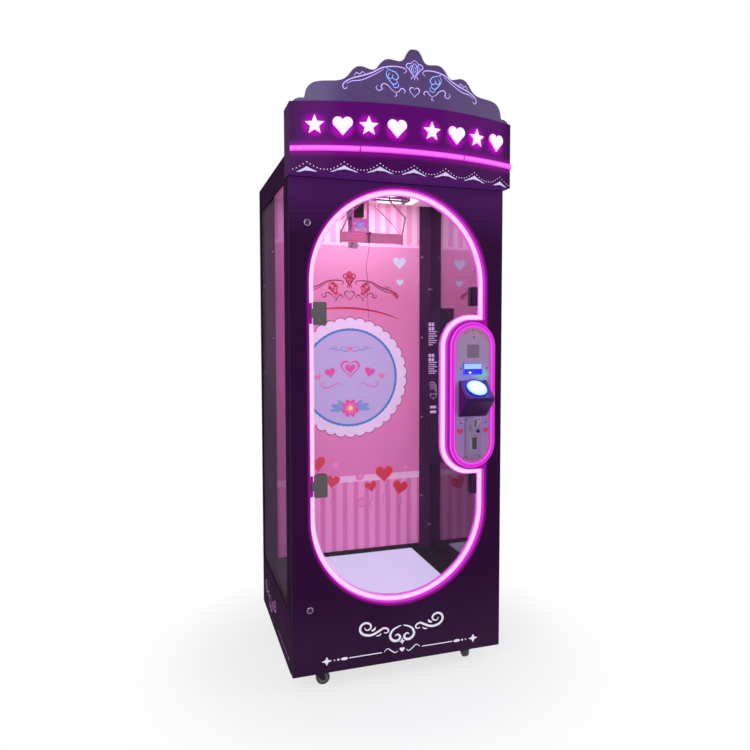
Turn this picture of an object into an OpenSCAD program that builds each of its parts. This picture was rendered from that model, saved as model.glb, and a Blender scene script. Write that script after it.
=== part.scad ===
// Cut prize arcade machine: a tall glazed cabinet with a swinging front door.
// A player moves a pair of scissors along a rail and cuts the string that a prize hangs on.
// X is to the right, the front faces -Y, and Z is up from the floor.
// The origin is on the floor, below the middle of the whole machine.

/* [Cabinet] */
// Width of the cabinet
cab_w = 800; // [780:1:840]
// Depth of the cabinet, front door to back panel
cab_d = 740; // [720:1:800]
// Height of the cabinet's underside above the floor
under_z = 75; // [72:1:82]
// Height of the cabinet's top above the floor
cab_top = 1890; // [1880:1:1920]
// Height of the deck that the lit floor panel lies on
deck_z = 245; // [240:1:252]
// Thickness of the steel sheet
sheet = 2; // [1.5:0.1:2.5]
// Gap between a panel and the piece that it lies against
seat_gap = 0.3; // [0.2:0.05:0.4]
// Depth of the hollow edge of the front door
door_t = 36; // [34:1:40]
// Gap between the front door and the pieces above and below it
door_gap = 3; // [2:0.5:4]
// Height of the front door's top edge
door_top = 1805; // [1802:1:1806]

/* [Window and door] */
// Width of the door's face beside the window
window_side = 67; // [64:1:72]
// Height of the window's lowest point above the floor
window_sill = 296; // [285:1:310]
// Height of the door's face above the window
window_head = 15; // [12:1:20]
// Width of the neon tube round the window
neon_w = 22; // [18:1:23]
// Distance of the neon tube behind the door's face
neon_set = 20; // [18:1:21]
// Width of the lip that the neon tube sits on
lip_w = 20; // [16:1:21]
// Gap from the neon tube to the glass door
glass_gap = 3; // [2.5:0.5:5]
// Thickness of the glass door
glass_t = 8; // [6:0.5:9]
// Height of the upper glass clamp
clamp_high_z = 1348; // [1330:1:1360]
// Height of the lower glass clamp
clamp_low_z = 745; // [730:1:760]
// Width of a glass clamp
clamp_w = 47; // [44:1:52]
// Height of a glass clamp
clamp_h = 80; // [70:1:84]
// Height of the upper keeper's middle above the tongue
catch_above = 90; // [84:1:98]
// Depth of the lower keeper's middle below the tongue
catch_below = 64; // [62:1:70]
// Height of a keeper and its catch
catch_h = 70; // [60:1:72]
// Distance of the cam locks from the door's left side
lock_in = 63; // [58:1:68]
// Height of the upper cam lock
lock_high_z = 1654; // [1640:1:1665]
// Height of the lower cam lock
lock_low_z = 313; // [300:1:325]
// Length of a lock's cam from the barrel's axis
cam_reach = 45; // [43:1:48]

/* [Controls] */
// Distance of the control plate's middle from the machine's right side
ctl_in = 121; // [120:1:124]
// Height of the control plate's middle
ctl_z = 1048; // [1040:1:1056]
// Half the width of the control plate
plate_hw = 72; // [71:0.5:73]
// Half the height of the control plate
plate_hh = 253; // [248:1:256]
// Thickness of the control plate
plate_t = 4; // [3:0.5:5]
// Width of the lit ring round the control plate
ring_w = 18; // [15:1:19]
// Height of the lit ring above the door's face
ring_t = 12; // [9:1:13]
// Width of door face left showing round the ring
tongue_rim = 7; // [5:0.5:9]
// Width of the button box
box_w = 112; // [106:1:120]
// Height of the button box where it meets the plate
box_back = 135; // [130:1:140]
// Distance that the button box stands out from the plate
box_reach = 70; // [68:1:76]
// Height that the top of the button box falls towards its lip
box_drop = 59; // [56:1:64]
// Height of the lip at the front of the button box
box_lip = 14; // [11:1:17]
// Height of the button box's top edge above the plate's middle
box_top = 56; // [54:1:60]
// Wall of the button box
box_wall = 3; // [2.5:0.5:4]
// Radius of the push button's cap
button_r = 39; // [36:0.5:40]
// Distance that the push button travels
button_travel = 4; // [3:0.5:5]
// Width of the coin plate
coin_w = 62; // [60:1:66]
// Distance of the coin plate above the control plate's lower end
coin_margin = 16; // [14:1:22]
// Gap between the coin plate and the button box
coin_gap = 4; // [3:0.5:8]
// Thickness of the coin plate
coin_t = 3; // [2.6:0.2:3.4]
// Depth of the coin acceptor behind the door's face
acceptor_d = 56; // [50:1:58]
// Depth of the control housing behind the door's face
housing_d = 64; // [62:1:70]
// Distance that the reject button travels
reject_travel = 3; // [2:0.5:4]

/* [Header] */
// Distance of the header's middle ahead of the cabinet's front
header_bow = 132; // [125:1:140]
// Distance of the header's ends ahead of the cabinet's front
header_end = 48; // [44:1:54]
// Height of the bowed front above the cabinet's top
header_rise = 146; // [140:1:152]
// Distance that the header's ends reach back over the cabinet
header_back = 60; // [50:1:70]
// Thickness of the header's sheet
header_t = 3; // [2:0.5:4]
// Height of the crest's peak above the header
crest_h = 185; // [180:1:192]
// Thickness of the crest board
crest_t = 4; // [3:0.5:5]
// Height of the header's neon strip
strip_h = 18; // [14:1:20]
// Height of the neon strip and lit symbols off the header's face
strip_t = 10; // [8:1:12]
// Height of a lit symbol
symbol_h = 62; // [56:1:66]

/* [Inside] */
// Distance of a ceiling light from the machine's middle
light_in = 106; // [100:1:112]
// Width of a ceiling light
light_w = 163; // [150:1:175]
// Depth of a ceiling light
light_d = 210; // [190:1:220]
// Distance of a ceiling light behind the cabinet's middle
light_back = 64; // [60:1:70]
// Width of the instruction board
notice_w = 66; // [60:1:70]
// Height of the instruction board
notice_h = 712; // [690:1:730]
// Distance of the instruction board ahead of the cabinet's back
notice_set = 148; // [140:1:156]
// Width of the instruction board's edge along the side glass
notice_edge = 30; // [24:1:36]
// Width of a rear post
post_w = 53; // [48:1:56]
// Depth of a rear post
post_d = 24; // [22:1:28]
// Width of a front post's flange
post_lip = 24; // [20:1:26]
// Thickness of the side glass
side_glass_t = 6; // [5:0.5:6.5]
// Thickness of the backing board
board_t = 3; // [2.5:0.5:4]
// Distance of the backing board in front of the back panel's outside
board_set = 20; // [18:1:24]
// Distance of the lit floor panel from the machine's side
floor_in = 107; // [100:1:115]
// Thickness of the lit floor panel
floor_t = 6; // [5:0.5:8]
// Height of the skirting
skirt_h = 22; // [18:1:26]
// Half the length of the rail rods
rail_hl = 140; // [136:1:150]
// Radius of a rail rod
rod_r = 4; // [3.5:0.1:4.2]
// Distance of a rail rod from the rail's middle
rod_y = 28; // [26:1:30]
// Distance of the rail rods below the ceiling
rod_drop = 44; // [42:1:46]
// Place of the carriage along the rail
carriage_x = -60; // [-70:1:-40]
// Radius of a belt pulley
pulley_r = 8; // [7.5:0.1:8.2]
// Half the width between the hanging arms at the top
arm_in = 50; // [46:1:54]
// Length of the straight upper part of a hanging arm
arm_drop = 62; // [58:1:66]
// Distance of the front hanging arms ahead of the rail's middle
arm_front = 80; // [77:1:84]
// Distance of the rear hanging arms behind the rail's middle
arm_rear = 92; // [90:1:96]
// Half the length of the hanging bar
bar_hl = 128; // [124:1:134]
// Distance of the hanging bar below the rail rods
bar_drop = 143; // [141:1:146]
// Distance between the two rods of the hanging bar
bar_gap = 34; // [32:1:35]
// Distance of the scissor blades below the hanging bar's lower rod
blade_drop = 15; // [14:0.5:17]
// Length of a scissor blade from its pivot to its tip
blade_l = 50; // [46:1:52]
// Angle of each open scissor blade from the middle line
blade_open = 16; // [12:1:18]
// Thickness of a scissor blade
blade_t = 2; // [1.5:0.1:2.2]

/* [Feet] */
// Radius of a caster wheel
wheel_r = 25; // [24:0.5:26]
// Width of a caster wheel
wheel_w = 20; // [18:1:22]
// Clearance under the caster wheels when the machine stands on its feet
wheel_gap = 1; // [0.8:0.1:1.5]
// Distance from a caster's swivel axis to its wheel's axle
caster_trail = 24; // [22:1:26]
// Distance of the casters from the machine's sides
caster_in = 100; // [92:1:110]
// Distance of the casters from the cabinet's front and back
caster_in_y = 78; // [74:1:86]
// Distance of the feet from the machine's sides
foot_in = 70; // [65:1:80]
// Distance of the feet from the cabinet's front and back
foot_in_y = 180; // [172:1:190]
// Radius of a levelling foot
foot_r = 25; // [22:1:28]

/* [Hidden] */
$fn = 64;

// Radial clearance of a turning or sliding fit
run_fit = 0.05;
// Distance that the power inlet stands out behind the back panel
rear_proud = 6;

// Main planes
half_w = cab_w / 2;
window_r = half_w - window_side;
window_low_z = window_sill + window_r;
window_high_z = door_top - window_head - window_r;
lock_x = half_w - lock_in;
ctl_x = half_w - ctl_in;
floor_hw = half_w - floor_in;
caster_x = half_w - caster_in;
caster_y = cab_d / 2 - caster_in_y;
foot_x = half_w - foot_in;
foot_y = cab_d / 2 - foot_in_y;
shift_y = (header_bow + strip_t - rear_proud) / 2;
front_y = shift_y - cab_d / 2;
back_y = shift_y + cab_d / 2;
frame_y = front_y + door_t;
inner_back_y = back_y - board_set;
side_in = half_w - sheet;
glass_in = side_in - seat_gap - side_glass_t;
post_out = glass_in - seat_gap;
post_in = post_out - post_w;
post_front_y = back_y - post_d - sheet;
ceiling_z = cab_top - 24;
door_bottom = under_z + door_gap;
apron_z = door_top + door_gap;
plate_y = front_y - plate_t;
coin_y = plate_y - coin_t;

// Hinge of the front door
hinge_x = half_w - 9;
hinge_y = front_y + 26;
hinge_pin_r = 4;
hinge_knuckle_r = 7;
hinge_zs = [door_bottom + 172, (door_bottom + door_top) / 2, door_top - 175];

// Tongue of the front door that carries the controls
tongue_r = plate_hw + ring_w + tongue_rim;
tongue_hh = plate_hh + ring_w + tongue_rim;
ring_hw = plate_hw + ring_w;
ring_hh = plate_hh + ring_w;

// Glass door
pane_y = front_y + neon_set + 4;
pane_inset = neon_w + glass_gap;
pane_edge = window_r - pane_inset;
clamp_px = -(window_r - 9);
clamp_py = front_y + 15;
clamp_pin_r = 2.5;
clamp_knuckle_r = 4.5;
clamp_zs = [clamp_low_z, clamp_high_z];
catch_low_z = ctl_z - tongue_hh - catch_below;
catch_high_z = ctl_z + tongue_hh + catch_above;
clamp_x0 = clamp_px + 8;
clamp_bolt_x = clamp_x0 + clamp_w * 0.62;
clamp_bolt_dz = clamp_h / 4;
catch_zs = [catch_low_z, catch_high_z];
keeper_t = 2;

// Button box
box_angle = atan2(box_drop, box_reach);
box_z = ctl_z + box_top;
button_mid = [ctl_x, plate_y - box_reach / 2, box_z - box_drop / 2];
bezel_r = button_r + 4;
stem_r = 15;
sleeve_r = 20;

// Coin gear
coin_low = ctl_z - plate_hh + coin_margin;
coin_high = box_z - box_back - coin_gap;
coin_h = coin_high - coin_low;
coin_x = ctl_x + 2;
coin_z = (coin_low + coin_high) / 2;
slot_x = coin_x + 10;
slot_z = coin_high - 22;
reject_x = coin_x + 21;
reject_z = coin_high - 52;
reject_r = 6;
return_x = coin_x + 6;
return_w = 18;
return_low = coin_low + 35;
return_high = reject_z - 23;
return_z = (return_low + return_high) / 2;
return_h = return_high - return_low;
acceptor_w = coin_w - 5;
acceptor_h = coin_h - 20;
flap_pin_r = 1.2;
flap_axis_z = return_z + return_h / 2 - 2.5;
flap_axis_y = coin_y + coin_t / 2;

// Bow of the header
bow_hw = half_w + 3;
bow_rise = header_bow - header_end;
bow_r = (bow_hw * bow_hw + bow_rise * bow_rise) / (2 * bow_rise);
bow_y = front_y - header_bow + bow_r;
header_top = cab_top + header_rise;
strip_z = cab_top - 6;
symbol_z = header_top - 79;
symbol_xs = [-325, -238, -155, -61, 61, 155, 238, 325];

// Scissor rail
rail_y = shift_y - 2;
rod_z = ceiling_z - rod_drop;
bar_high_z = rod_z - bar_drop;
bar_low_z = bar_high_z - bar_gap;
plate_low_z = ceiling_z - 4 - seat_gap;
carriage_hw = 30;
carriage_hd = 42;
carriage_h = 24;
carriage_low = rod_z - carriage_h / 2;
belt_t = 1.5;
pulley_x = rail_hl - 15;
pulley_z = rod_z + carriage_h / 2 + 3 + pulley_r;
slide_t = 9;
slide_high = carriage_low - seat_gap;
slide_low = slide_high - slide_t;
pivot_y = rail_y + 62;
blade_z = bar_low_z - blade_drop;
arm_y = pivot_y + 10;

// Cord of the prize
string_d = 2;
string_x = -14;
string_y = rail_y - 8;
string_top = bar_low_z - 5;
string_route = [
    [0, 0, 0], [0, 0, -15], [-2, 0, -32], [-6, -1, -55], [-11, -2, -78], [-13, -2, -97],
    [-11, -2, -116], [-7, -1, -136], [-5, 0, -160], [-5, 1, -185], [-6, 1, -210],
    [-6, 0, -235], [-5, -1, -260], [-4, -1, -282], [-4, -1, -300]
];

module block(low, high) {
    translate(low) cube(high - low);
}

// A flat outline in X and Z, made into a plate that starts at y and is t thick
module slab(y, t) {
    translate([0, y + t, 0]) rotate([90, 0, 0]) linear_extrude(t) children();
}

// A copy on each side of the middle plane
module both_sides() {
    children();
    mirror([1, 0, 0]) children();
}

module rod_between(a, b, r) {
    v = b - a;
    translate(a) rotate([0, acos(v[2] / norm(v)), atan2(v[1], v[0])]) cylinder(r = r, h = norm(v));
}

module pill2d(hw, hh) {
    translate([ctl_x, ctl_z]) {
        translate([0, hh - hw]) circle(hw);
        translate([0, hw - hh]) circle(hw);
        translate([-hw, hw - hh]) square([2 * hw, 2 * (hh - hw)]);
    }
}

module tongue2d(grow) {
    pill2d(tongue_r + grow, tongue_hh + grow);
    translate([ctl_x, ctl_z - tongue_hh - grow]) square([half_w, 2 * (tongue_hh + grow)]);
}

// The window: two round ends, with the tongue of the controls cut out of its right side
module window2d(grow) {
    r = window_r + grow;
    difference() {
        union() {
            translate([0, window_low_z]) circle(r);
            translate([0, window_high_z]) circle(r);
            translate([-r, window_low_z]) square([2 * r, window_high_z - window_low_z]);
        }
        tongue2d(-grow);
    }
}

module rect2d(x, z, w, h) {
    translate([x - w / 2, z - h / 2]) square([w, h]);
}

module heart2d(h) {
    k = h / 60;
    scale(k) {
        translate([-15, 9]) circle(17);
        translate([15, 9]) circle(17);
        polygon([[-29, 0], [0, -32], [29, 0], [15, 14], [-15, 14]]);
    }
}

module star2d(h) {
    r = h * 0.54;
    polygon([for (i = [0:9]) let (q = i % 2 == 0 ? r : r * 0.45) [q * sin(36 * i), q * cos(36 * i)]]);
}

// Cabinet

module base_pan() {
    color("#231226") {
        difference() {
            block([-side_in + seat_gap, frame_y, under_z],
                  [side_in - seat_gap, back_y - sheet - seat_gap, deck_z]);
            block([-side_in + seat_gap + sheet, frame_y + sheet, under_z - 1],
                  [side_in - seat_gap - sheet, back_y - 2 * sheet - seat_gap, deck_z - sheet]);
            translate([power_x, back_y, power_z]) cube([48, 30, 58], center = true);
        }
        for (s = [-1, 1]) {
            difference() {
                block([-side_in + seat_gap + sheet, shift_y + s * foot_y - 30, under_z],
                      [side_in - seat_gap - sheet, shift_y + s * foot_y + 30, under_z + 4]);
                for (t = [-1, 1])
                    translate([t * foot_x, shift_y + s * foot_y, under_z - 1])
                        cylinder(r = 6 + seat_gap, h = 10);
            }
        }
        both_sides() {
            block([caster_x - 65, frame_y + 1, under_z],
                  [side_in - seat_gap - 1, shift_y - caster_y + 42, under_z + 4]);
            block([caster_x - 65, shift_y + caster_y - 55, under_z],
                  [side_in - seat_gap - 1, back_y - sheet - seat_gap - 1, under_z + 4]);
        }
    }
}

module floor_panel() {
    color("white")
        block([-floor_hw, frame_y + 14, deck_z], [floor_hw, back_y - 35, deck_z + floor_t]);
}

window_front_y = frame_y + 64;
window_back_y = back_y - 35;
side_window_low = deck_z + 42;
side_window_high = cab_top - 95;

module side_panels() {
    color("#2b1630") both_sides() difference() {
        block([half_w - sheet, frame_y, under_z], [half_w, back_y, cab_top]);
        block([half_w - sheet - 1, window_front_y, side_window_low],
              [half_w + 1, window_back_y, side_window_high]);
    }
}

module side_glass() {
    color("#c9d6e4", 0.35) both_sides()
        block([glass_in, window_front_y - 18, side_window_low - 20],
              [glass_in + side_glass_t, back_y - 12, side_window_high + 20]);
}

module corner_posts() {
    low = deck_z + seat_gap;
    high = ceiling_z - seat_gap;
    color("#1d1020") both_sides() {
        difference() {
            block([post_in, post_front_y, low], [post_out, back_y - 2 * sheet - seat_gap, high]);
            block([post_in + sheet, post_front_y + sheet, low - 1],
                  [post_out - sheet, back_y - 3 * sheet - seat_gap, high + 1]);
        }
        block([side_in - seat_gap - post_lip, frame_y, low], [side_in - seat_gap, frame_y + sheet, high]);
        block([side_in - seat_gap - sheet, frame_y, low], [side_in - seat_gap, frame_y + 40, high]);
    }
}

module roof() {
    color("#2b1630") {
        block([-side_in + seat_gap, front_y + sheet, cab_top - sheet],
              [side_in - seat_gap, back_y - sheet - seat_gap, cab_top]);
        block([-half_w, front_y, apron_z], [half_w, front_y + sheet, cab_top]);
        for (s = [-1, 1])
            translate([s * (half_w - sheet / 2), 0, 0])
                block([-sheet / 2, front_y, apron_z], [sheet / 2, frame_y - seat_gap, cab_top]);
        block([-half_w + 1, front_y + 1, cab_top - sheet], [half_w - 1, frame_y - seat_gap, cab_top]);
    }
}

module ceiling() {
    color("#f2c9dd")
        block([-post_out, frame_y + 4, ceiling_z], [post_out, back_y - 2 * sheet, ceiling_z + 2]);
}

power_x = 250;
power_z = under_z + 75;

module back_panel() {
    color("#2b1630") difference() {
        block([-side_in + seat_gap, back_y - sheet, under_z], [side_in - seat_gap, back_y, cab_top]);
        for (i = [0:7], s = [-1, 1])
            translate([s * 150, back_y, cab_top - 110 - 16 * i]) cube([140, 10, 5], center = true);
        for (i = [0:4])
            translate([-200, back_y, under_z + 60 + 16 * i]) cube([140, 10, 5], center = true);
        translate([power_x, back_y, power_z]) cube([48, 10, 58], center = true);
    }
}

module backing_board() {
    color("#f3a3c6")
        block([-post_in + seat_gap, inner_back_y, deck_z + skirt_h],
              [post_in - seat_gap, inner_back_y + board_t, ceiling_z - seat_gap]);
}

module skirting() {
    color("#2a1a2c") {
        block([-post_in + seat_gap, inner_back_y - 4, deck_z],
              [post_in - seat_gap, inner_back_y + board_t, deck_z + skirt_h]);
        both_sides() block([post_in - seat_gap - 4, post_front_y, deck_z],
                           [post_in - seat_gap, inner_back_y, deck_z + skirt_h]);
    }
}

// Header

module bow_disc(r, low, high) {
    translate([0, bow_y, low]) cylinder(r = r, h = high - low, $fn = 400);
}

module header_span(back, low, high) {
    block([-bow_hw, front_y - header_bow - 30, low], [bow_hw, back, high]);
}

module header_box() {
    back = front_y + header_back;
    color("#261028") {
        difference() {
            intersection() {
                bow_disc(bow_r, apron_z, header_top);
                header_span(back, apron_z, header_top);
            }
            intersection() {
                bow_disc(bow_r - header_t, apron_z + header_t, header_top + 1);
                block([-bow_hw + header_t, front_y - header_bow, apron_z + header_t],
                      [bow_hw - header_t, back - header_t, header_top + 1]);
            }
            block([-half_w - seat_gap, front_y - seat_gap, apron_z - 1],
                  [half_w + seat_gap, back + 1, cab_top + seat_gap]);
        }
        difference() {
            intersection() {
                bow_disc(bow_r - header_t - crest_t - 2 * seat_gap, header_top - header_t, header_top);
                header_span(back, header_top - header_t, header_top);
            }
            block([-bow_hw - 1, back, header_top - 9], [bow_hw + 1, back + 9, header_top + 1]);
        }
    }
}

module header_neon() {
    color("#ff3df0") intersection() {
        difference() {
            bow_disc(bow_r + strip_t, strip_z - strip_h / 2, strip_z + strip_h / 2);
            bow_disc(bow_r, strip_z - strip_h, strip_z + strip_h);
        }
        block([-bow_hw, front_y - header_bow - 30, strip_z - strip_h],
              [bow_hw, front_y - header_end + 6, strip_z + strip_h]);
    }
}

module header_symbols() {
    color("#ffd9ff") for (i = [0:7]) {
        a = asin(symbol_xs[i] / bow_r);
        difference() {
            translate([0, bow_y, symbol_z]) rotate([0, 0, a]) translate([0, -bow_r + 4, 0])
                rotate([90, 0, 0]) linear_extrude(strip_t + 3) {
                    if (i % 2 == 0) star2d(symbol_h);
                    else heart2d(symbol_h);
                }
            bow_disc(bow_r, symbol_z - symbol_h, symbol_z + symbol_h);
        }
    }
}

// The crest's outline: soft lobes that step down from the peak to both ends
crest_drawn_hw = 400;
crest_drawn_h = 185;
crest_foot = 46;
crest_points = [
    [0, 185], [14, 183], [25, 170], [34, 152], [46, 142], [62, 142], [84, 145], [101, 141],
    [116, 128], [128, 112], [141, 106], [158, 110], [176, 115], [194, 112], [208, 100], [222, 82],
    [240, 70], [264, 66], [300, 65], [326, 61], [344, 49], [353, 31], [357, 12], [370, 12],
    [386, 7], [396, -5], [400, -22]
];
function crest_half(k, h) = [
    for (i = [0:2 * (len(crest_points) - 1)])
        let (p = route_point(crest_points, i / 2)) [k * p[0], header_top + h * p[1]]
];

module crest2d() {
    k = (bow_hw - header_t) / crest_drawn_hw;
    h = crest_h / crest_drawn_h;
    right = crest_half(k, h);
    n = len(right);
    left = [for (i = [0:n - 1]) [-right[n - 1 - i][0], right[n - 1 - i][1]]];
    corner_x = k * crest_drawn_hw;
    foot = [[corner_x, header_top - crest_foot], [-corner_x, header_top - crest_foot]];
    polygon(concat(right, foot, [for (i = [0:n - 2]) left[i]]));
}

module crest_board() {
    r = bow_r - header_t - seat_gap;
    color("#54406a") intersection() {
        difference() {
            bow_disc(r, header_top - crest_foot - 14, header_top + crest_h + 20);
            bow_disc(r - crest_t, header_top - crest_foot - 34, header_top + crest_h + 40);
        }
        slab(front_y - header_bow - 10, header_bow + 40) crest2d();
    }
}

// Inside the cabinet

module ceiling_lights() {
    color("white") both_sides() difference() {
        y = shift_y + light_back;
        block([light_in, y, ceiling_z - 8], [light_in + light_w, y + light_d, ceiling_z - seat_gap]);
        block([light_in + 8, y + 8, ceiling_z - 9],
              [light_in + light_w - 8, y + light_d - 8, ceiling_z - 6]);
    }
}

module rail_frame() {
    color("#b9a6b4") {
        y = rail_y - arm_front - 10;
        block([-rail_hl - 10, y, plate_low_z], [rail_hl + 10, rail_y + 60, plate_low_z + 4]);
        block([-arm_in - 20, y, plate_low_z], [arm_in + 20, rail_y + arm_rear + 10, plate_low_z + 4]);
        both_sides() block([rail_hl, rail_y - 45, rod_z - 12], [rail_hl + 10, rail_y + 45, plate_low_z]);
        for (s = [-1, 1])
            translate([-rail_hl - 1, rail_y + s * rod_y, rod_z]) rotate([0, 90, 0])
                cylinder(r = rod_r, h = 2 * rail_hl + 2);
        translate([-pulley_x, rail_y + 6, pulley_z]) rotate([-90, 0, 0]) cylinder(r = 6, h = 18);
        block([-pulley_x - 4, rail_y + 14, pulley_z], [-pulley_x + 4, rail_y + 24, plate_low_z]);
        translate([-pulley_x, rail_y - 5, pulley_z]) rotate([-90, 0, 0]) cylinder(r = 2, h = 12);
    }
}

module belt_motor() {
    y = rail_y + 8;
    h = 2 * (rail_hl - pulley_x - seat_gap);
    color("#24222a") difference() {
        union() {
            translate([pulley_x - h / 2, y, pulley_z - h / 2]) cube([h, 30, h]);
            translate([pulley_x, y - 1.5, pulley_z]) rotate([-90, 0, 0]) cylinder(r = h / 2 - 3, h = 4);
            block([pulley_x - 10, y + 4, pulley_z], [pulley_x + 10, y + 26, plate_low_z - seat_gap]);
        }
        translate([pulley_x, y - 3, pulley_z]) rotate([-90, 0, 0]) cylinder(r = 2 + run_fit, h = 11);
    }
}

module pulley_shape(x) {
    translate([x, rail_y, pulley_z]) rotate([90, 0, 0]) {
        difference() {
            union() {
                cylinder(r = pulley_r, h = 8, center = true);
                for (s = [-1, 1]) translate([0, 0, s * 4.5]) cylinder(r = pulley_r + 1.2, h = 1, center = true);
            }
            cylinder(r = 2 + run_fit, h = 30, center = true);
        }
    }
}

module motor_pulley() {
    color("silver") {
        pulley_shape(pulley_x);
        translate([pulley_x, rail_y - 5, pulley_z]) rotate([-90, 0, 0]) cylinder(r = 2 + run_fit, h = 10);
        translate([pulley_x, rail_y - 5, pulley_z]) rotate([-90, 0, 0]) cylinder(r = 2, h = 20);
    }
}

module idler_pulley() {
    color("silver") pulley_shape(-pulley_x);
}

module belt2d(r) {
    translate([-pulley_x, pulley_z]) circle(r);
    translate([pulley_x, pulley_z]) circle(r);
    translate([-pulley_x, pulley_z - r]) square([2 * pulley_x, 2 * r]);
}

module drive_belt() {
    color("#1b1b1d") slab(rail_y - 3, 6) difference() {
        belt2d(pulley_r + 0.1 + belt_t);
        belt2d(pulley_r + 0.1);
    }
}

module carriage() {
    x = carriage_x;
    lip = slide_low - seat_gap - 3;
    color("#3a3140") difference() {
        union() {
            block([x - carriage_hw, rail_y - carriage_hd, carriage_low],
                  [x + carriage_hw, rail_y + carriage_hd, carriage_low + carriage_h]);
            block([x - 10, rail_y - 6, carriage_low + 1],
                  [x + 10, rail_y + 6, pulley_z - pulley_r - 0.1 - belt_t - seat_gap]);
            for (s = [-1, 1]) {
                translate([x + s * (carriage_hw - 2), rail_y, 0])
                    block([-2, -carriage_hd, lip], [2, carriage_hd, carriage_low + 1]);
                translate([x + s * (carriage_hw - 5), rail_y, 0])
                    block([-4, -carriage_hd, lip], [4, carriage_hd, lip + 3]);
            }
        }
        for (s = [-1, 1])
            translate([x, rail_y + s * rod_y, rod_z]) rotate([0, 90, 0])
                cylinder(r = rod_r + run_fit, h = 3 * carriage_hw, center = true);
    }
}

module sign_board() {
    y = rail_y - carriage_hd - seat_gap - 3;
    color("#ffb6e6") {
        block([carriage_x - 35, y, bar_high_z - 3], [carriage_x + 35, y + 3, bar_high_z + 52]);
        for (s = [-1, 1])
            translate([carriage_x + s * 31, 0, 0])
                block([-4, y, bar_high_z + 50], [4, y + 3, carriage_low + 10]);
    }
}

module cutter_slide() {
    x = carriage_x;
    hw = carriage_hw - 4 - seat_gap;
    color("#8f8794") {
        block([x - hw, rail_y - 25, slide_low], [x + hw, arm_y + 8, slide_high]);
        block([x - 20, arm_y, blade_z - 4], [x + 20, arm_y + 4, slide_low + 1]);
        block([x - 14, pivot_y - 6, blade_z - 4], [x + 14, arm_y + 1, blade_z]);
        translate([x, pivot_y, blade_z - 4]) cylinder(r = 14, h = 4);
        translate([x, pivot_y, blade_z - 4]) cylinder(r = 3, h = 4 + 2 * blade_t + 2 * seat_gap + 3);
    }
}

gearbox_h = 58;
gearbox_low = slide_low - gearbox_h;

module cutter_gearbox() {
    x = carriage_x;
    color("#2c1d33") difference() {
        union() {
            block([x - 26, rail_y - 4, gearbox_low], [x + 26, arm_y - seat_gap, slide_low - seat_gap - 4]);
            translate([x - 12, rail_y + 20, gearbox_low - 10]) cylinder(r = 12, h = 20);
            block([x - 14, rail_y, gearbox_low + 40], [x + 14, arm_y - seat_gap, slide_low]);
        }
        translate([x, pivot_y, gearbox_low - 1]) cylinder(r = 4 + run_fit, h = 26);
    }
}

module blade2d(side) {
    circle(9);
    polygon([[side * -9, 0], [side * -8, 20 - blade_l], [side * -1, -blade_l], [side, -blade_l],
             [side * 1.5, 0]]);
}

module blade_left() {
    z = blade_z + seat_gap;
    color("#cfd3da") translate([carriage_x, pivot_y, z]) difference() {
        rotate([0, 0, -blade_open]) linear_extrude(blade_t) blade2d(1);
        translate([0, 0, -1]) cylinder(r = 3 + run_fit, h = 9);
    }
}

module blade_right() {
    z = blade_z + 2 * seat_gap + blade_t;
    cap = 2 * seat_gap + 3;
    color("#cfd3da") translate([carriage_x, pivot_y, z]) {
        difference() {
            union() {
                rotate([0, 0, blade_open]) linear_extrude(blade_t) blade2d(-1);
                cylinder(r = 6, h = blade_t + cap + 3);
            }
            translate([0, 0, -1]) cylinder(r = 3 + run_fit, h = blade_t + cap + 1);
        }
        translate([0, 0, blade_t + cap + 2]) cylinder(r = 4, h = gearbox_low + 20 - z - blade_t - cap - 2);
    }
}

module hanging_bar() {
    top = plate_low_z;
    color("#e9b7d2") {
        for (z = [bar_high_z, bar_low_z])
            translate([-bar_hl, rail_y, z]) rotate([0, 90, 0]) cylinder(r = 4, h = 2 * bar_hl);
        block([-bar_hl, rail_y - 1.5, bar_low_z], [bar_hl, rail_y + 1.5, bar_high_z]);
        both_sides() {
            block([bar_hl - 2, rail_y - 8, bar_low_z - 6], [bar_hl + 4, rail_y + 8, bar_high_z + 6]);
            for (y = [rail_y - arm_front, rail_y + arm_rear]) {
                s = y < rail_y ? -1 : 1;
                knee = [arm_in, y, top - arm_drop];
                elbow = [bar_hl - 12, y, top - 2 * arm_drop];
                rod_between([arm_in, y, top], knee, 3);
                translate(knee) sphere(r = 4);
                rod_between(knee, elbow, 3);
                translate(elbow) sphere(r = 4);
                rod_between(elbow, [bar_hl + 1, rail_y + s * 4, bar_high_z], 3);
            }
        }
    }
}

module string_clip() {
    color("#3a1d33") difference() {
        block([string_x - 9, rail_y - 8, bar_high_z - 5], [string_x + 9, rail_y + 8, bar_high_z + 7]);
        translate([string_x, rail_y, bar_high_z]) rotate([0, 90, 0])
            cylinder(r = 4 + seat_gap, h = 40, center = true);
        block([string_x - 10, rail_y - 1.5 - seat_gap, bar_high_z - 9],
              [string_x + 10, rail_y + 1.5 + seat_gap, bar_high_z]);
    }
    color("#3a1d33") difference() {
        block([string_x - 3, rail_y - 11, string_top], [string_x + 3, rail_y - 4 - seat_gap, bar_high_z + 7]);
        block([string_x - 4, rail_y - 4 - seat_gap - 1, string_top - 1],
              [string_x + 4, rail_y, bar_low_z + 5]);
    }
}

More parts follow.
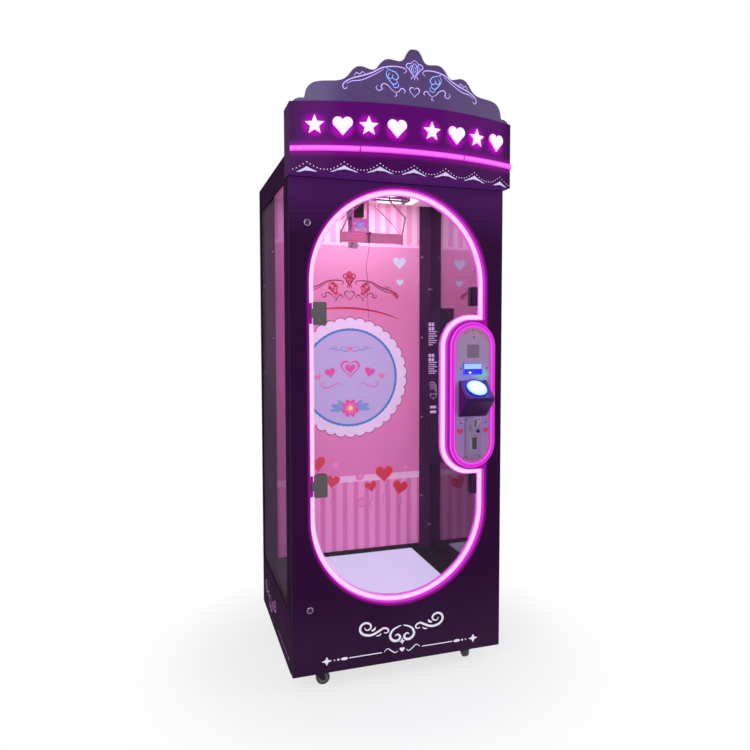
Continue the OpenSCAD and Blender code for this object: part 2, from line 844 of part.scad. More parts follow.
// A round tube swept along a route by rings that stay level
function string_ring(p, n) = [
    for (i = [0:n - 1])
        [string_x + p[0] + string_d / 2 * cos(360 * i / n),
         string_y + p[1] + string_d / 2 * sin(360 * i / n),
         string_top + p[2]]
];
function catmull(a, b, c, d, t) = 0.5 * (2 * b + (c - a) * t + (2 * a - 5 * b + 4 * c - d) * t * t
                                        + (3 * b - a - 3 * c + d) * t * t * t);
function route_point(route, u) = let (
    n = len(route) - 1, i = min(floor(u), n - 1),
    a = route[max(i - 1, 0)], b = route[i], c = route[i + 1], d = route[min(i + 2, n)]
) catmull(a, b, c, d, u - i);

module prize_string() {
    sides = 8;
    rings = 70;
    spans = len(string_route) - 1;
    points = [for (k = [0:rings]) each string_ring(route_point(string_route, spans * k / rings), sides)];
    walls = [
        for (k = [0:rings - 1], i = [0:sides - 1])
            let (a = k * sides + i, b = k * sides + (i + 1) % sides)
                each [[a, b, b + sides], [a, b + sides, a + sides]]
    ];
    first = [for (i = [1:sides - 2]) [0, i + 1, i]];
    last = [for (i = [1:sides - 2]) [rings * sides, rings * sides + i, rings * sides + i + 1]];
    color("#6b3a5c") polyhedron(points = points, faces = concat(walls, first, last));
}

module instruction_board() {
    right = glass_in - seat_gap;
    y = back_y - notice_set;
    low = ctl_z - 16 - notice_h / 2;
    color("#32153a") {
        block([right - notice_w, y - 3, low], [right, y, low + notice_h]);
        block([right - 3, y - 1, low], [right, y + notice_edge, low + notice_h]);
    }
}

// Feet and casters

module levelling_feet() {
    color("#3c3c40") for (s = [-1, 1], t = [-1, 1])
        translate([s * foot_x, shift_y + t * foot_y, 0]) {
            cylinder(r = foot_r, h = 8);
            cylinder(r = foot_r * 0.6, h = 14);
            cylinder(r = 6, h = under_z + 20);
            translate([0, 0, under_z - 9]) cylinder(r = 11, h = 9 - seat_gap, $fn = 6);
        }
}

axle_z = wheel_r + wheel_gap;
fork_top = under_z - 12;

// A caster fork with its top at fork_top, its trail along +X
module fork_shape() {
    leg = wheel_w / 2 + 1.5;
    difference() {
        union() {
            translate([0, 0, fork_top - 4]) cylinder(r = 20, h = 4);
            for (s = [-1, 1]) translate([0, s * (leg + 1.5), 0]) rotate([90, 0, 0])
                translate([0, 0, -1.5]) linear_extrude(3)
                    polygon([[-18, fork_top], [18, fork_top], [caster_trail + 9, axle_z],
                             [caster_trail + 6, axle_z - 7], [caster_trail - 6, axle_z - 7]]);
        }
        translate([-60, -60, fork_top]) cube([120, 120, 20]);
    }
    translate([caster_trail, 0, axle_z]) rotate([90, 0, 0]) cylinder(r = 4, h = 2 * leg + 5, center = true);
}

module caster_fork(x, turn) {
    color("#4a4a50") translate([x, shift_y - caster_y, 0]) rotate([0, 0, turn]) {
        fork_shape();
        translate([0, 0, fork_top - 1]) cylinder(r = 6, h = 9);
    }
}

module caster_wheel(x, y, turn, trail) {
    color("#9a9aa0") translate([x, y, 0]) rotate([0, 0, turn]) translate([trail, 0, axle_z])
        rotate([90, 0, 0]) rotate_extrude() polygon([
            [4 + run_fit, -wheel_w / 2], [10, -wheel_w / 2], [11, -wheel_w / 2 + 3],
            [wheel_r - 6, -wheel_w / 2 + 3], [wheel_r - 4, -wheel_w / 2], [wheel_r - 1.5, -wheel_w / 2],
            [wheel_r, -wheel_w / 2 + 2], [wheel_r, wheel_w / 2 - 2], [wheel_r - 1.5, wheel_w / 2],
            [wheel_r - 4, wheel_w / 2], [wheel_r - 6, wheel_w / 2 - 3], [11, wheel_w / 2 - 3],
            [10, wheel_w / 2], [4 + run_fit, wheel_w / 2]]);
}

module caster_plates() {
    color("#6a6a70") for (s = [-1, 1]) {
        translate([s * caster_x, shift_y - caster_y, 0]) difference() {
            union() {
                translate([-40, -30, under_z - 3]) cube([80, 60, 3]);
                translate([0, 0, fork_top + seat_gap]) cylinder(r = 15, h = under_z - fork_top - 1);
            }
            translate([0, 0, fork_top - 1]) cylinder(r = 6 + run_fit, h = 10);
        }
        translate([s * caster_x, shift_y + caster_y, 0]) {
            translate([-30, -40, under_z - 3]) cube([60, 80, 3]);
            translate([0, 0, fork_top - 1]) cylinder(r = 15, h = under_z - fork_top);
            rotate([0, 0, 90]) fork_shape();
        }
    }
}

left_turn = 0;
right_turn = 90;

module caster_fork_left() { caster_fork(-caster_x, left_turn); }
module caster_fork_right() { caster_fork(caster_x, right_turn); }
module caster_wheel_left() {
    caster_wheel(-caster_x, shift_y - caster_y, left_turn, caster_trail);
}
module caster_wheel_right() {
    caster_wheel(caster_x, shift_y - caster_y, right_turn, caster_trail);
}
module caster_wheel_rear_left() {
    caster_wheel(-caster_x, shift_y + caster_y, 90, caster_trail);
}
module caster_wheel_rear_right() {
    caster_wheel(caster_x, shift_y + caster_y, 90, caster_trail);
}

// Power at the back

module power_inlet() {
    color("#1a1a1c") difference() {
        union() {
            translate([power_x, back_y + 1.5, power_z]) cube([56, 3, 66], center = true);
            translate([power_x, back_y - 14, power_z]) cube([46, 30, 56], center = true);
            translate([power_x, back_y + rear_proud / 2, power_z - 13]) cube([34, rear_proud, 26], center = true);
        }
        translate([power_x, back_y, power_z - 13]) cube([26, 30, 18], center = true);
        translate([power_x, back_y, power_z + 15]) cube([24, 24, 17], center = true);
        translate([power_x, back_y - 3, power_z + 15]) rotate([0, 90, 0])
            cylinder(r = 1.2 + run_fit, h = 34, center = true);
    }
    color("silver") for (i = [-1, 0, 1])
        translate([power_x + 7 * i, back_y - 16, power_z - 13 + (i == 0 ? 3 : -2)]) rotate([-90, 0, 0])
            cylinder(r = 1.6, h = 16);
}

module power_rocker() {
    color("#b01818") translate([power_x, back_y - 3, power_z + 15]) {
        rotate([8, 0, 0]) translate([0, 1.5, 0]) cube([21, 9, 13], center = true);
        rotate([0, 90, 0]) cylinder(r = 1.2, h = 32, center = true);
    }
}

// Front door

module hinge_brackets() {
    color("#57505c") for (z = hinge_zs) translate([hinge_x, hinge_y, z]) {
        translate([0, 0, -30]) cylinder(r = hinge_pin_r, h = 60);
        translate([0, 0, -30]) cylinder(r = hinge_knuckle_r, h = 30);
        block([-6, 0, -30], [3, frame_y - hinge_y - seat_gap, -0.01]);
        block([-20, frame_y - hinge_y - seat_gap - 2, -30],
              [1, frame_y - hinge_y - seat_gap, 30]);
    }
}

module clamp_lugs(z) {
    translate([0, 0, z]) {
        block([-window_r - sheet / 2, front_y + 6, -36], [-window_r + 3, front_y + 19, 36]);
        for (low = [-36, 16]) {
            block([-window_r + 1, clamp_py - 4, low], [clamp_px, clamp_py + 4, low + 20]);
            translate([clamp_px, clamp_py, low]) cylinder(r = clamp_knuckle_r, h = 20);
        }
        translate([clamp_px, clamp_py, -36]) cylinder(r = clamp_pin_r, h = 72);
    }
}

module front_panel() {
    lip_y = frame_y - seat_gap - sheet;
    wall = lip_y + sheet - front_y;
    hw = half_w - 1;
    depth = 28;
    color("#2f1834") difference() {
        union() {
            slab(front_y, sheet) difference() {
                translate([-hw, door_bottom]) square([2 * hw, door_top - door_bottom]);
                window2d(0);
            }
            slab(front_y, wall) difference() {
                window2d(sheet);
                window2d(0);
            }
            slab(lip_y, sheet) difference() {
                window2d(1);
                window2d(-lip_w);
            }
            block([-hw, front_y, door_bottom], [-hw + sheet, front_y + depth, door_top]);
            block([hw - sheet, front_y, door_bottom], [hw, front_y + 20, door_top]);
            block([-hw, front_y, door_bottom], [hw - 24, front_y + depth, door_bottom + sheet]);
            block([-hw, front_y, door_top - sheet], [hw - 24, front_y + depth, door_top]);
            for (z = hinge_zs) translate([hinge_x, hinge_y, z + seat_gap]) {
                cylinder(r = hinge_knuckle_r, h = 29);
                block([-5, front_y - hinge_y + 1, 0], [5, 0, 29]);
            }
            for (z = clamp_zs) clamp_lugs(z);
        }
        for (z = hinge_zs)
            translate([hinge_x, hinge_y, z - 31]) cylinder(r = hinge_pin_r + run_fit, h = 62);
        for (z = [lock_low_z, lock_high_z])
            translate([-lock_x, front_y - 1, z]) rotate([-90, 0, 0]) cylinder(r = 9.5 + run_fit, h = 9);
        slab(front_y - 1, 9) {
            rect2d(coin_x, coin_z, acceptor_w + 2, acceptor_h + 2);
            rect2d(ctl_x, box_z - box_back / 2, 60, 60);
            rect2d(ctl_x, box_z + 43, 60, 30);
        }
    }
}

module window_neon() {
    color("#ff8bf5") slab(front_y + neon_set, frame_y - 2 * seat_gap - sheet - front_y - neon_set)
        difference() {
            window2d(-seat_gap);
            window2d(-neon_w);
        }
}

module control_ring() {
    color("#f028e0") slab(front_y - ring_t, ring_t) difference() {
        pill2d(ring_hw, ring_hh);
        pill2d(plate_hw, plate_hh);
    }
}

module control_plate() {
    color("#e9e2ea") slab(plate_y, plate_t) difference() {
        pill2d(plate_hw - seat_gap, plate_hh - seat_gap);
        rect2d(coin_x, coin_z, acceptor_w + 2, acceptor_h + 2);
        rect2d(ctl_x, box_z - box_back / 2, 60, 60);
        rect2d(ctl_x, box_z + 43, 60, 30);
    }
}

module display() {
    color("#3a4df0") {
        difference() {
            slab(plate_y - 3, 3) rect2d(ctl_x, box_z + 43, 76, 42);
            slab(plate_y - 4, 3) rect2d(ctl_x, box_z + 43, 66, 32);
        }
        slab(plate_y - 1, 20) rect2d(ctl_x, box_z + 43, 58, 28);
    }
}

module box_profile() {
    polygon([[0, 0], [-box_reach, -box_drop], [-box_reach, -box_drop - box_lip], [0, -box_back]]);
}

module box_hollow() {
    top_fall = box_wall / cos(box_angle);
    under = box_back - box_drop - box_lip;
    low_rise = box_wall * sqrt(under * under + box_reach * box_reach) / box_reach;
    q = box_reach - box_wall;
    polygon([[1, -top_fall + box_drop / box_reach], [-q, -top_fall - q * box_drop / box_reach],
             [-q, -box_back + low_rise + q * under / box_reach], [1, -box_back + low_rise]]);
}

module along_x(w) {
    translate([-w / 2, 0, 0]) rotate([90, 0, 90]) linear_extrude(w) children();
}

module button_box() {
    color("#2a1440") difference() {
        translate([ctl_x, plate_y, box_z]) difference() {
            along_x(box_w) box_profile();
            along_x(box_w - 2 * box_wall) box_hollow();
        }
        translate(button_mid) rotate([box_angle, 0, 0]) translate([0, 0, -12])
            cylinder(r = sleeve_r + seat_gap, h = 24);
    }
}

module button_bezel() {
    color("#2030d0") translate(button_mid) rotate([box_angle, 0, 0]) difference() {
        union() {
            translate([0, 0, -18]) cylinder(r = sleeve_r, h = 19);
            cylinder(r = bezel_r, h = 9);
        }
        translate([0, 0, 3]) cylinder(r = button_r + 0.5, h = 9);
        translate([0, 0, -20]) cylinder(r = stem_r + run_fit, h = 40);
    }
}

module start_button() {
    low = 3 + button_travel + 0.5;
    dome = 9;
    dome_r = (button_r * button_r + dome * dome) / (2 * dome);
    color("#dffcf4") translate(button_mid) rotate([box_angle, 0, 0]) {
        translate([0, 0, -12]) cylinder(r = stem_r, h = 12 + low + 1);
        translate([0, 0, low]) cylinder(r = button_r, h = 3);
        intersection() {
            translate([0, 0, low + 3 + dome - dome_r]) sphere(r = dome_r, $fn = 128);
            translate([0, 0, low + 2]) cylinder(r = button_r, h = dome + 2);
        }
    }
}

module coin_plate() {
    color("#b8b4bd") difference() {
        slab(coin_y, coin_t) difference() {
            rect2d(coin_x, coin_z, coin_w, coin_h);
            rect2d(slot_x, slot_z, 3.5, 26);
            rect2d(return_x, return_z, return_w, return_h);
            translate([reject_x, reject_z]) circle(reject_r + 0.5);
        }
        translate([return_x, flap_axis_y, flap_axis_z]) rotate([0, 90, 0])
            cylinder(r = flap_pin_r + run_fit, h = return_w + 8, center = true);
        slab(coin_y - 1, 2) rect2d(coin_x - 10, reject_z, 16, 3);
    }
}

module coin_acceptor() {
    y = plate_y + seat_gap;
    color("#3b3a40") difference() {
        slab(y, acceptor_d + plate_t) rect2d(coin_x, coin_z, acceptor_w, acceptor_h);
        slab(y - 1, 31) rect2d(slot_x, slot_z, 3.5, 26);
        slab(y - 1, 19) translate([reject_x, reject_z]) circle(reject_r + run_fit);
        slab(y - 1, 37) rect2d(return_x, return_z, return_w, return_h);
    }
}

module reject_button() {
    color("#4a7bff") slab(coin_y - reject_travel, coin_t + reject_travel + 12)
        translate([reject_x, reject_z]) circle(reject_r);
}

module return_flap() {
    low = return_z - return_h / 2 + 0.6;
    color("#202024") {
        translate([return_x, 0, 0])
            block([-return_w / 2 + 0.4, flap_axis_y - 0.8, low],
                  [return_w / 2 - 0.4, flap_axis_y + 0.8, flap_axis_z]);
        translate([return_x, flap_axis_y, flap_axis_z]) rotate([0, 90, 0])
            cylinder(r = flap_pin_r, h = return_w + 6, center = true);
    }
}

module control_housing() {
    y = front_y + sheet + seat_gap;
    color("#1e1424") difference() {
        slab(y, housing_d - sheet) pill2d(ring_hw, ring_hh);
        slab(y - 1, housing_d - 2 * sheet + 1) pill2d(ring_hw - sheet, ring_hh - sheet);
    }
}

module cam_lock(z) {
    cam_y = frame_y + sheet + 0.8;
    color("#c9c9d2") translate([-lock_x, 0, z]) {
        slab(front_y - seat_gap - 3, 3) circle(12);
        slab(front_y - seat_gap - 3, cam_y - front_y + seat_gap + 4) circle(9.5);
        slab(cam_y, 3) rect2d(0, cam_reach / 2 - 4, 16, cam_reach + 8);
    }
}

module cam_lock_high() { cam_lock(lock_high_z); }
module cam_lock_low() { cam_lock(lock_low_z); }

module door_catches() {
    lip_y = frame_y - seat_gap;
    pad_y = pane_y + glass_t + keeper_t + seat_gap;
    x = pane_edge;
    color("#17131a") for (z = catch_zs) {
        block([x - 20, lip_y, z - catch_h / 2], [x + 22, lip_y + 28, z + catch_h / 2]);
        block([x - 18, pad_y, z - catch_h / 2 + 4], [x - 2, lip_y + 1, z + catch_h / 2 - 4]);
    }
}

// Glass door

module glass_pane() {
    color("#d6e4f0", 0.35) slab(pane_y, glass_t) difference() {
        window2d(-pane_inset);
        for (z = clamp_zs, s = [-1, 1])
            translate([clamp_bolt_x, z + s * clamp_bolt_dz]) circle(5);
    }
}

module glass_clamps() {
    back = pane_y + glass_t;
    grip_x = -pane_edge + 4;
    color("#9a979c") for (z = clamp_zs) translate([0, 0, z]) difference() {
        union() {
            block([clamp_x0, clamp_py - 4, -clamp_h / 2], [clamp_x0 + clamp_w, clamp_py + 4, clamp_h / 2]);
            block([grip_x, clamp_py + 3, -clamp_h / 2], [clamp_x0 + clamp_w, pane_y, clamp_h / 2]);
            block([grip_x, back, -clamp_h / 2], [clamp_x0 + clamp_w, back + 6, clamp_h / 2]);
            for (s = [-1, 1])
                translate([clamp_bolt_x, clamp_py, s * clamp_bolt_dz]) rotate([-90, 0, 0])
                    cylinder(r = 4, h = back + 3 - clamp_py);
            translate([clamp_px, clamp_py, -15.7]) cylinder(r = clamp_knuckle_r, h = 31.4);
            block([clamp_px, clamp_py - 4, -15.7], [clamp_x0 + 1, clamp_py + 4, 15.7]);
        }
        translate([clamp_px, clamp_py, -20]) cylinder(r = clamp_pin_r + run_fit, h = 40);
    }
}

module glass_keepers() {
    color("#17131a") for (z = catch_zs) difference() {
        block([pane_edge - 22, pane_y - keeper_t, z - catch_h / 2],
              [pane_edge + keeper_t, pane_y + glass_t + keeper_t, z + catch_h / 2]);
        block([pane_edge - 23, pane_y - 0.05, z - catch_h], [pane_edge + 0.05, pane_y + glass_t + 0.05, z + catch_h]);
    }
}

base_pan();
floor_panel();
side_panels();
side_glass();
corner_posts();
roof();
ceiling();
back_panel();
backing_board();
skirting();
header_box();
header_neon();
header_symbols();
crest_board();
ceiling_lights();
rail_frame();
belt_motor();
drive_belt();
hanging_bar();
string_clip();
prize_string();
hinge_brackets();
levelling_feet();
caster_plates();
instruction_board();
power_inlet();
motor_pulley();
idler_pulley();
carriage();
sign_board();
cutter_slide();
cutter_gearbox();
blade_left();
blade_right();
power_rocker();
front_panel();
window_neon();
control_ring();
control_plate();
display();
button_box();
button_bezel();
start_button();
coin_plate();
coin_acceptor();
reject_button();
return_flap();
control_housing();
cam_lock_high();
cam_lock_low();
door_catches();
glass_pane();
glass_clamps();
glass_keepers();
caster_fork_left();
caster_fork_right();
caster_wheel_left();
caster_wheel_right();
caster_wheel_rear_left();
caster_wheel_rear_right();
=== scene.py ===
import math
import bmesh
import bpy
from mathutils import Matrix, Vector


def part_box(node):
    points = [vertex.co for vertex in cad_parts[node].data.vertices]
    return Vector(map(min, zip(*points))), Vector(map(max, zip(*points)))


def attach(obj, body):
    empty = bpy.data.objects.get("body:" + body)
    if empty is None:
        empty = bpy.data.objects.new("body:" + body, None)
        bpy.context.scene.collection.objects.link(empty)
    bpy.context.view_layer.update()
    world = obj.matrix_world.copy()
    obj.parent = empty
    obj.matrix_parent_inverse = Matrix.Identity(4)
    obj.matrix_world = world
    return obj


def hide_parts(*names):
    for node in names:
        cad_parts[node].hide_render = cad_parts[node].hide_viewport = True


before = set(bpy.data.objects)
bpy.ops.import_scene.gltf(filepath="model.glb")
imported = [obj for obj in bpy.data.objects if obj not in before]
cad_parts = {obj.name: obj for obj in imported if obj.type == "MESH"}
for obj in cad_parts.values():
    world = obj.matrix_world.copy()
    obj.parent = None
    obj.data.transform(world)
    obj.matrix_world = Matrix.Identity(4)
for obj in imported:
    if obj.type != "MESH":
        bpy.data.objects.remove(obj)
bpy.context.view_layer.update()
MM = 0.001

# Sizes in millimetres, as in the part's source
FRONT = -302.0          # face of the front door
PLATE = -306.0          # face of the control plate
COIN = -309.0           # face of the coin plate
SIDE = 400.0            # faces of the side panels
BOARD = 418.0           # face of the printed board
POST = 412.0            # faces of the rear pillars
LOCK_X = -337.0         # middle of both locks
WINDOW_R = 333.0        # the window's round ends
WINDOW_LOW = 629.0
WINDOW_HIGH = 1457.0
MID_X = 279.0           # middle of the controls
TONGUE_R = 97.0         # round ends of the tongue that carries them
TONGUE_LOW = 867.0
TONGUE_HIGH = 1229.0
BOW_R = 1008.7          # the header's bowed face
BOW_Y = 574.7
STRIP_Z = 1884.0        # middle of the header's lit strip
BUTTON_MID = Vector((MID_X, -341.0, 1074.5))
BUTTON_TILT = math.atan2(59.0, 70.0)
BUTTON_OUT = Vector((0.0, -math.sin(BUTTON_TILT), math.cos(BUTTON_TILT)))
FORWARD = (0, -1, 0)


# Meshes, built in millimetres

def add_mesh(name, bm):
    """Turns what was built into an object in the frame's metres."""
    mesh = bpy.data.meshes.new(name)
    bm.to_mesh(mesh)
    bm.free()
    mesh.transform(Matrix.Scale(MM, 4))
    made = bpy.data.objects.new(name, mesh)
    bpy.context.scene.collection.objects.link(made)
    return made


def turn(sides):
    """The angles of one turn in equal steps."""
    return [2 * math.pi * i / sides for i in range(sides)]


def fill(bm, loops, skin=0):
    """Closes each loop of corners with one face."""
    for loop in loops:
        bm.faces.new(loop).material_index = skin


def loft(bm, rings, values=None, skin=0, wrap=False, closed=True):
    """Joins a row of rings with quads. wrap joins the last ring to the first, and closed joins
    the ends of each ring. The values, one for each ring, go into the mesh's 'across'."""
    if values:
        layer = bm.verts.layers.float.get("across") or bm.verts.layers.float.new("across")
    rows = []
    for i, ring in enumerate(rings):
        row = [bm.verts.new(p) for p in ring]
        if values:
            for v in row:
                v[layer] = values[i]
        rows.append(row)
    for i in range(len(rows) if wrap else len(rows) - 1):
        a, b = rows[i], rows[(i + 1) % len(rows)]
        for j in range(len(a) if closed else len(a) - 1):
            k = (j + 1) % len(a)
            bm.faces.new((a[j], a[k], b[k], b[j])).material_index = skin
    return rows


def smooth_line(knots, steps, closed=False):
    """Points on a smooth line through the knots, steps of them to each span."""
    count = len(knots)
    points = []
    for i in range(count if closed else count - 1):
        near = [i - 1, i, i + 1, i + 2]
        near = [k % count if closed else min(max(k, 0), count - 1) for k in near]
        a, b, c, d = (Vector(knots[k]) for k in near)
        for t in (s / steps for s in range(steps)):
            points.append(0.5 * (2 * b + (c - a) * t + (2 * a - 5 * b + 4 * c - d) * t * t
                                 + (3 * b - a - 3 * c + d) * t ** 3))
    if not closed:
        points.append(Vector(knots[-1]))
    return points


# Camera at the photograph's place

def place_camera():
    camera = bpy.data.cameras.new("front_left_camera")
    camera.sensor_width = 36.0
    camera.lens = 32.764
    camera.shift_x = -0.0351
    camera.shift_y = -0.0115
    holder = bpy.data.objects.new("front_left_camera", camera)
    holder.location = (-0.795, -2.612, 1.298)
    holder.rotation_euler = [math.radians(angle) for angle in (86.783, -0.034, -18.994)]
    bpy.context.scene.collection.objects.link(holder)
    bpy.context.scene.camera = holder


place_camera()


# The prize's string, along the route of its solid

STRING_TOP = Vector((-14, 58, 1640))
STRING_ROUTE = [
    (0, 0, 0), (0, 0, -15), (-2, 0, -32), (-6, -1, -55), (-11, -2, -78), (-13, -2, -97),
    (-11, -2, -116), (-7, -1, -136), (-5, 0, -160), (-5, 1, -185), (-6, 1, -210), (-6, 0, -235),
    (-5, -1, -260), (-4, -1, -282), (-4, -1, -300),
]


def hang_string():
    """Two strands twisted round each other along the route."""
    line = [p + STRING_TOP for p in smooth_line(STRING_ROUTE, 12)]
    radius, strand, twist = 0.93, 0.07, 0.9
    rings = []
    for i, p in enumerate(line):
        ring = [(a, radius + strand * math.cos(2 * a - i * twist)) for a in turn(12)]
        rings.append([p + Vector((r * math.cos(a), r * math.sin(a), 0.0)) for a, r in ring])
    bm = bmesh.new()
    rows = loft(bm, rings[::-1])
    fill(bm, (rows[0], rows[-1]))
    cord = add_mesh("prize_cord", bm)
    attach(cord, "cabinet")
    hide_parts("prize_string")
    path = [tuple(p * MM) for p in line]
    length = sum((b - a).length for a, b in zip(line, line[1:])) * MM
    return cord


string = hang_string()


# Shader maths

class Val:
    """A shader socket whose operators add Math nodes."""

    def __init__(self, graph, socket):
        self.graph = graph
        self.socket = socket

    def __add__(self, other): return self.graph.maths("ADD", self, other)
    def __radd__(self, other): return self.graph.maths("ADD", other, self)
    def __sub__(self, other): return self.graph.maths("SUBTRACT", self, other)
    def __rsub__(self, other): return self.graph.maths("SUBTRACT", other, self)
    def __mul__(self, other): return self.graph.maths("MULTIPLY", self, other)
    def __rmul__(self, other): return self.graph.maths("MULTIPLY", other, self)
    def __gt__(self, other): return self.graph.maths("GREATER_THAN", self, other)
    def __lt__(self, other): return self.graph.maths("LESS_THAN", self, other)
    def __mod__(self, other): return self.graph.maths("FLOORED_MODULO", self, other)
    def __pow__(self, other): return self.graph.maths("POWER", self, other)
    def __abs__(self): return self.graph.maths("ABSOLUTE", self)


def tone(value):
    """A screen colour, each part 0 to 255, as a shader's linear values."""
    if not isinstance(value, tuple):
        return value
    parts = [((c / 255 + 0.055) / 1.055) ** 2.4 if c > 10 else c / 255 / 12.92 for c in value]
    return (*parts, 1.0)


class Graph:
    """A node tree that is built node by node, with colours given as screen colours."""

    def __init__(self, owner, ending):
        owner.use_nodes = True
        self.owner = owner
        self.ending = ending
        self.tree = owner.node_tree
        self.tree.nodes.clear()

    def node(self, kind, settings=None, links=None, out=0):
        made = self.tree.nodes.new(kind)
        for key, value in (settings or {}).items():
            if key == "stops":
                ramp = made.color_ramp
                while len(ramp.elements) < len(value):
                    ramp.elements.new(0.5)
                for stop, (at, shade) in zip(ramp.elements, value):
                    stop.position = at
                    stop.color = tone(shade)
            else:
                setattr(made, key, value)
        for key, value in (links or {}).items():
            if isinstance(value, Val):
                self.tree.links.new(value.socket, made.inputs[key])
            elif value is not None:
                made.inputs[key].default_value = value
        if out is None:
            return None
        if isinstance(out, tuple):
            return [Val(self, made.outputs[o]) for o in out]
        return Val(self, made.outputs[out])

    def maths(self, operation, a, b=None):
        return self.node("ShaderNodeMath", {"operation": operation}, {0: a, 1: b})

    def most(self, a, b):
        return self.maths("MAXIMUM", a, b)

    def vector(self, operation, a, b=None, out=0):
        return self.node("ShaderNodeVectorMath", {"operation": operation}, {0: a, 1: b}, out)

    def cover(self, share, under, over):
        return self.node("ShaderNodeMixShader", {}, {0: share, 1: under, 2: over})

    def seen(self):
        """1 for what the camera sees, straight on or by way of metal or glass."""
        camera, glossy, through = self.node(
            "ShaderNodeLightPath", out=("Is Camera Ray", "Is Glossy Ray", "Is Transmission Ray"))
        return self.most(camera, self.most(glossy, through))

    def done(self, shader):
        self.node(self.ending, {}, {"Surface": shader}, out=None)


SKINS = {}


class Skin(Graph):
    """A material. Object coordinates are the frame's metres."""

    def __init__(self, name):
        super().__init__(bpy.data.materials.new(name), "ShaderNodeOutputMaterial")
        SKINS[name] = self.owner
        self.place = self.node("ShaderNodeTexCoord", out="Object")
        self.x, self.y, self.z = self.parts(self.place)

    def parts(self, vector):
        return self.node("ShaderNodeSeparateXYZ", {}, {0: vector}, out=("X", "Y", "Z"))

    def normal(self):
        return self.node("ShaderNodeNewGeometry", out="Normal")

    def facing(self):
        """The surface's own direction, as its three parts."""
        return self.parts(self.normal())

    def across(self):
        """How far across a lit piece, from the value kept in its mesh."""
        return self.node("ShaderNodeAttribute", {"attribute_name": "across"}, out="Fac")

    def mix(self, share, a, b):
        links = {0: share, 6: tone(a), 7: tone(b)}
        return self.node("ShaderNodeMix", {"data_type": "RGBA"}, links, out=2)

    def smooth(self, value, start, end, low=0.0, high=1.0):
        links = {"Value": value, "From Min": start, "From Max": end, "To Min": low, "To Max": high}
        return self.node("ShaderNodeMapRange", {"interpolation_type": "SMOOTHSTEP"}, links)

    def noise(self, scale, detail=2.0, stretch=(1.0, 1.0, 1.0)):
        links = {"Vector": self.vector("MULTIPLY", self.place, stretch), "Scale": scale,
                 "Detail": detail}
        return self.node("ShaderNodeTexNoise", {}, links)

    def ramp(self, value, stops):
        return self.node("ShaderNodeValToRGB", {"stops": stops}, {0: value})

    def bump(self, height, depth):
        links = {"Height": height, "Distance": depth, "Strength": 1.0}
        return self.node("ShaderNodeBump", {}, links)

    def clear(self, tint=(255, 255, 255)):
        return self.node("ShaderNodeBsdfTransparent", {}, {"Color": tone(tint)})

    def gloss(self, base, rough=0.5, metal=0.0, normal=None, glow=None, strength=0.0, **fixed):
        links = {"Base Color": tone(base), "Roughness": rough, "Metallic": metal, "Normal": normal}
        if glow is not None:
            links["Emission Color"] = tone(glow)
            links["Emission Strength"] = strength
        links.update({key.replace("_", " "): value for key, value in fixed.items()})
        return self.node("ShaderNodeBsdfPrincipled", {}, links)


# Finishes that several pieces share

def sprayed(name, shade, lighter, dust=0.0):
    """Starts a sprayed sheet: its cloudy colour, and a little dust low down."""
    s = Skin(name)
    cloud = s.noise(4.0, 4.0)
    base = s.mix(cloud, shade, lighter)
    if dust:
        base = s.mix(s.smooth(s.z, 0.42, 0.07) * cloud * dust, base, (150, 140, 146))
    return s, base


def lacquered(s, base, rough, coat, coat_rough, glow=None):
    """Ends it: fine orange peel under a thin uneven lacquer. rough and coat are each a least
    value and the share that the wiping marks add."""
    smear = s.noise(7.0, 3.0, (1.0, 1.0, 0.25))
    s.done(s.gloss(base, rough=smear * rough[1] + rough[0],
                   normal=s.bump(s.noise(900.0, 1.0), 0.00006), glow=glow, strength=1.0,
                   Specular_IOR_Level=0.0, Coat_Weight=smear * coat[1] + coat[0],
                   Coat_Roughness=coat_rough))


def paint(name, shade, lighter, rough, coat=0.05, dust=0.10):
    """Sprayed metal."""
    s, base = sprayed(name, shade, lighter, dust)
    lacquered(s, base, (rough - 0.11, 0.22), (coat * 0.6, coat * 0.8), rough * 0.7)


def sheet_metal(name, shade, lighter, rough=0.3, grain=(900.0, 900.0, 12.0)):
    """Bare metal with fine lines along its grain."""
    s = Skin(name)
    lines = s.noise(1.0, 2.0, grain)
    cloud = s.noise(18.0, 3.0)
    s.done(s.gloss(s.mix(cloud, shade, lighter), rough=lines * 0.2 + (rough - 0.1) + cloud * 0.06,
                   metal=0.95, normal=s.bump(lines, 0.00003)))


def moulded(name, shade, lighter, rough=0.5, shine=0.5, grit=700.0, depth=0.00008):
    """Moulded plastic or rubber with a fine even grain."""
    s = Skin(name)
    cloud = s.noise(22.0, 3.0)
    s.done(s.gloss(s.mix(cloud, shade, lighter), rough=rough + (cloud - 0.5) * 0.14,
                   normal=s.bump(s.noise(grit), depth), Specular_IOR_Level=shine))


def ink(name, shade, lighter, glow=0.0, rough=0.45):
    """Printed ink or cut film, with a faint mottle."""
    s = Skin(name)
    mottle = s.noise(160.0, 3.0)
    base = s.mix(mottle, shade, lighter)
    s.done(s.gloss(base, rough=rough + mottle * 0.1, glow=base if glow else None, strength=glow))


def glowing_panel(name, shade, lighter, strength, body=1.0):
    """A glowing diffusing sheet: back-lit for the symbols and the ceiling lamps. On the ceiling
    lining and the floor panel its glow is painted light.
    """
    s = Skin(name)
    fine = s.noise(240.0)
    base = s.mix(s.noise(2.4, 3.0) * 0.7 + fine * 0.3, shade, lighter)
    s.done(s.gloss(s.mix(body, (24, 12, 28), base), rough=fine * 0.1 + 0.35, glow=base,
                   strength=strength, Specular_IOR_Level=0.2))


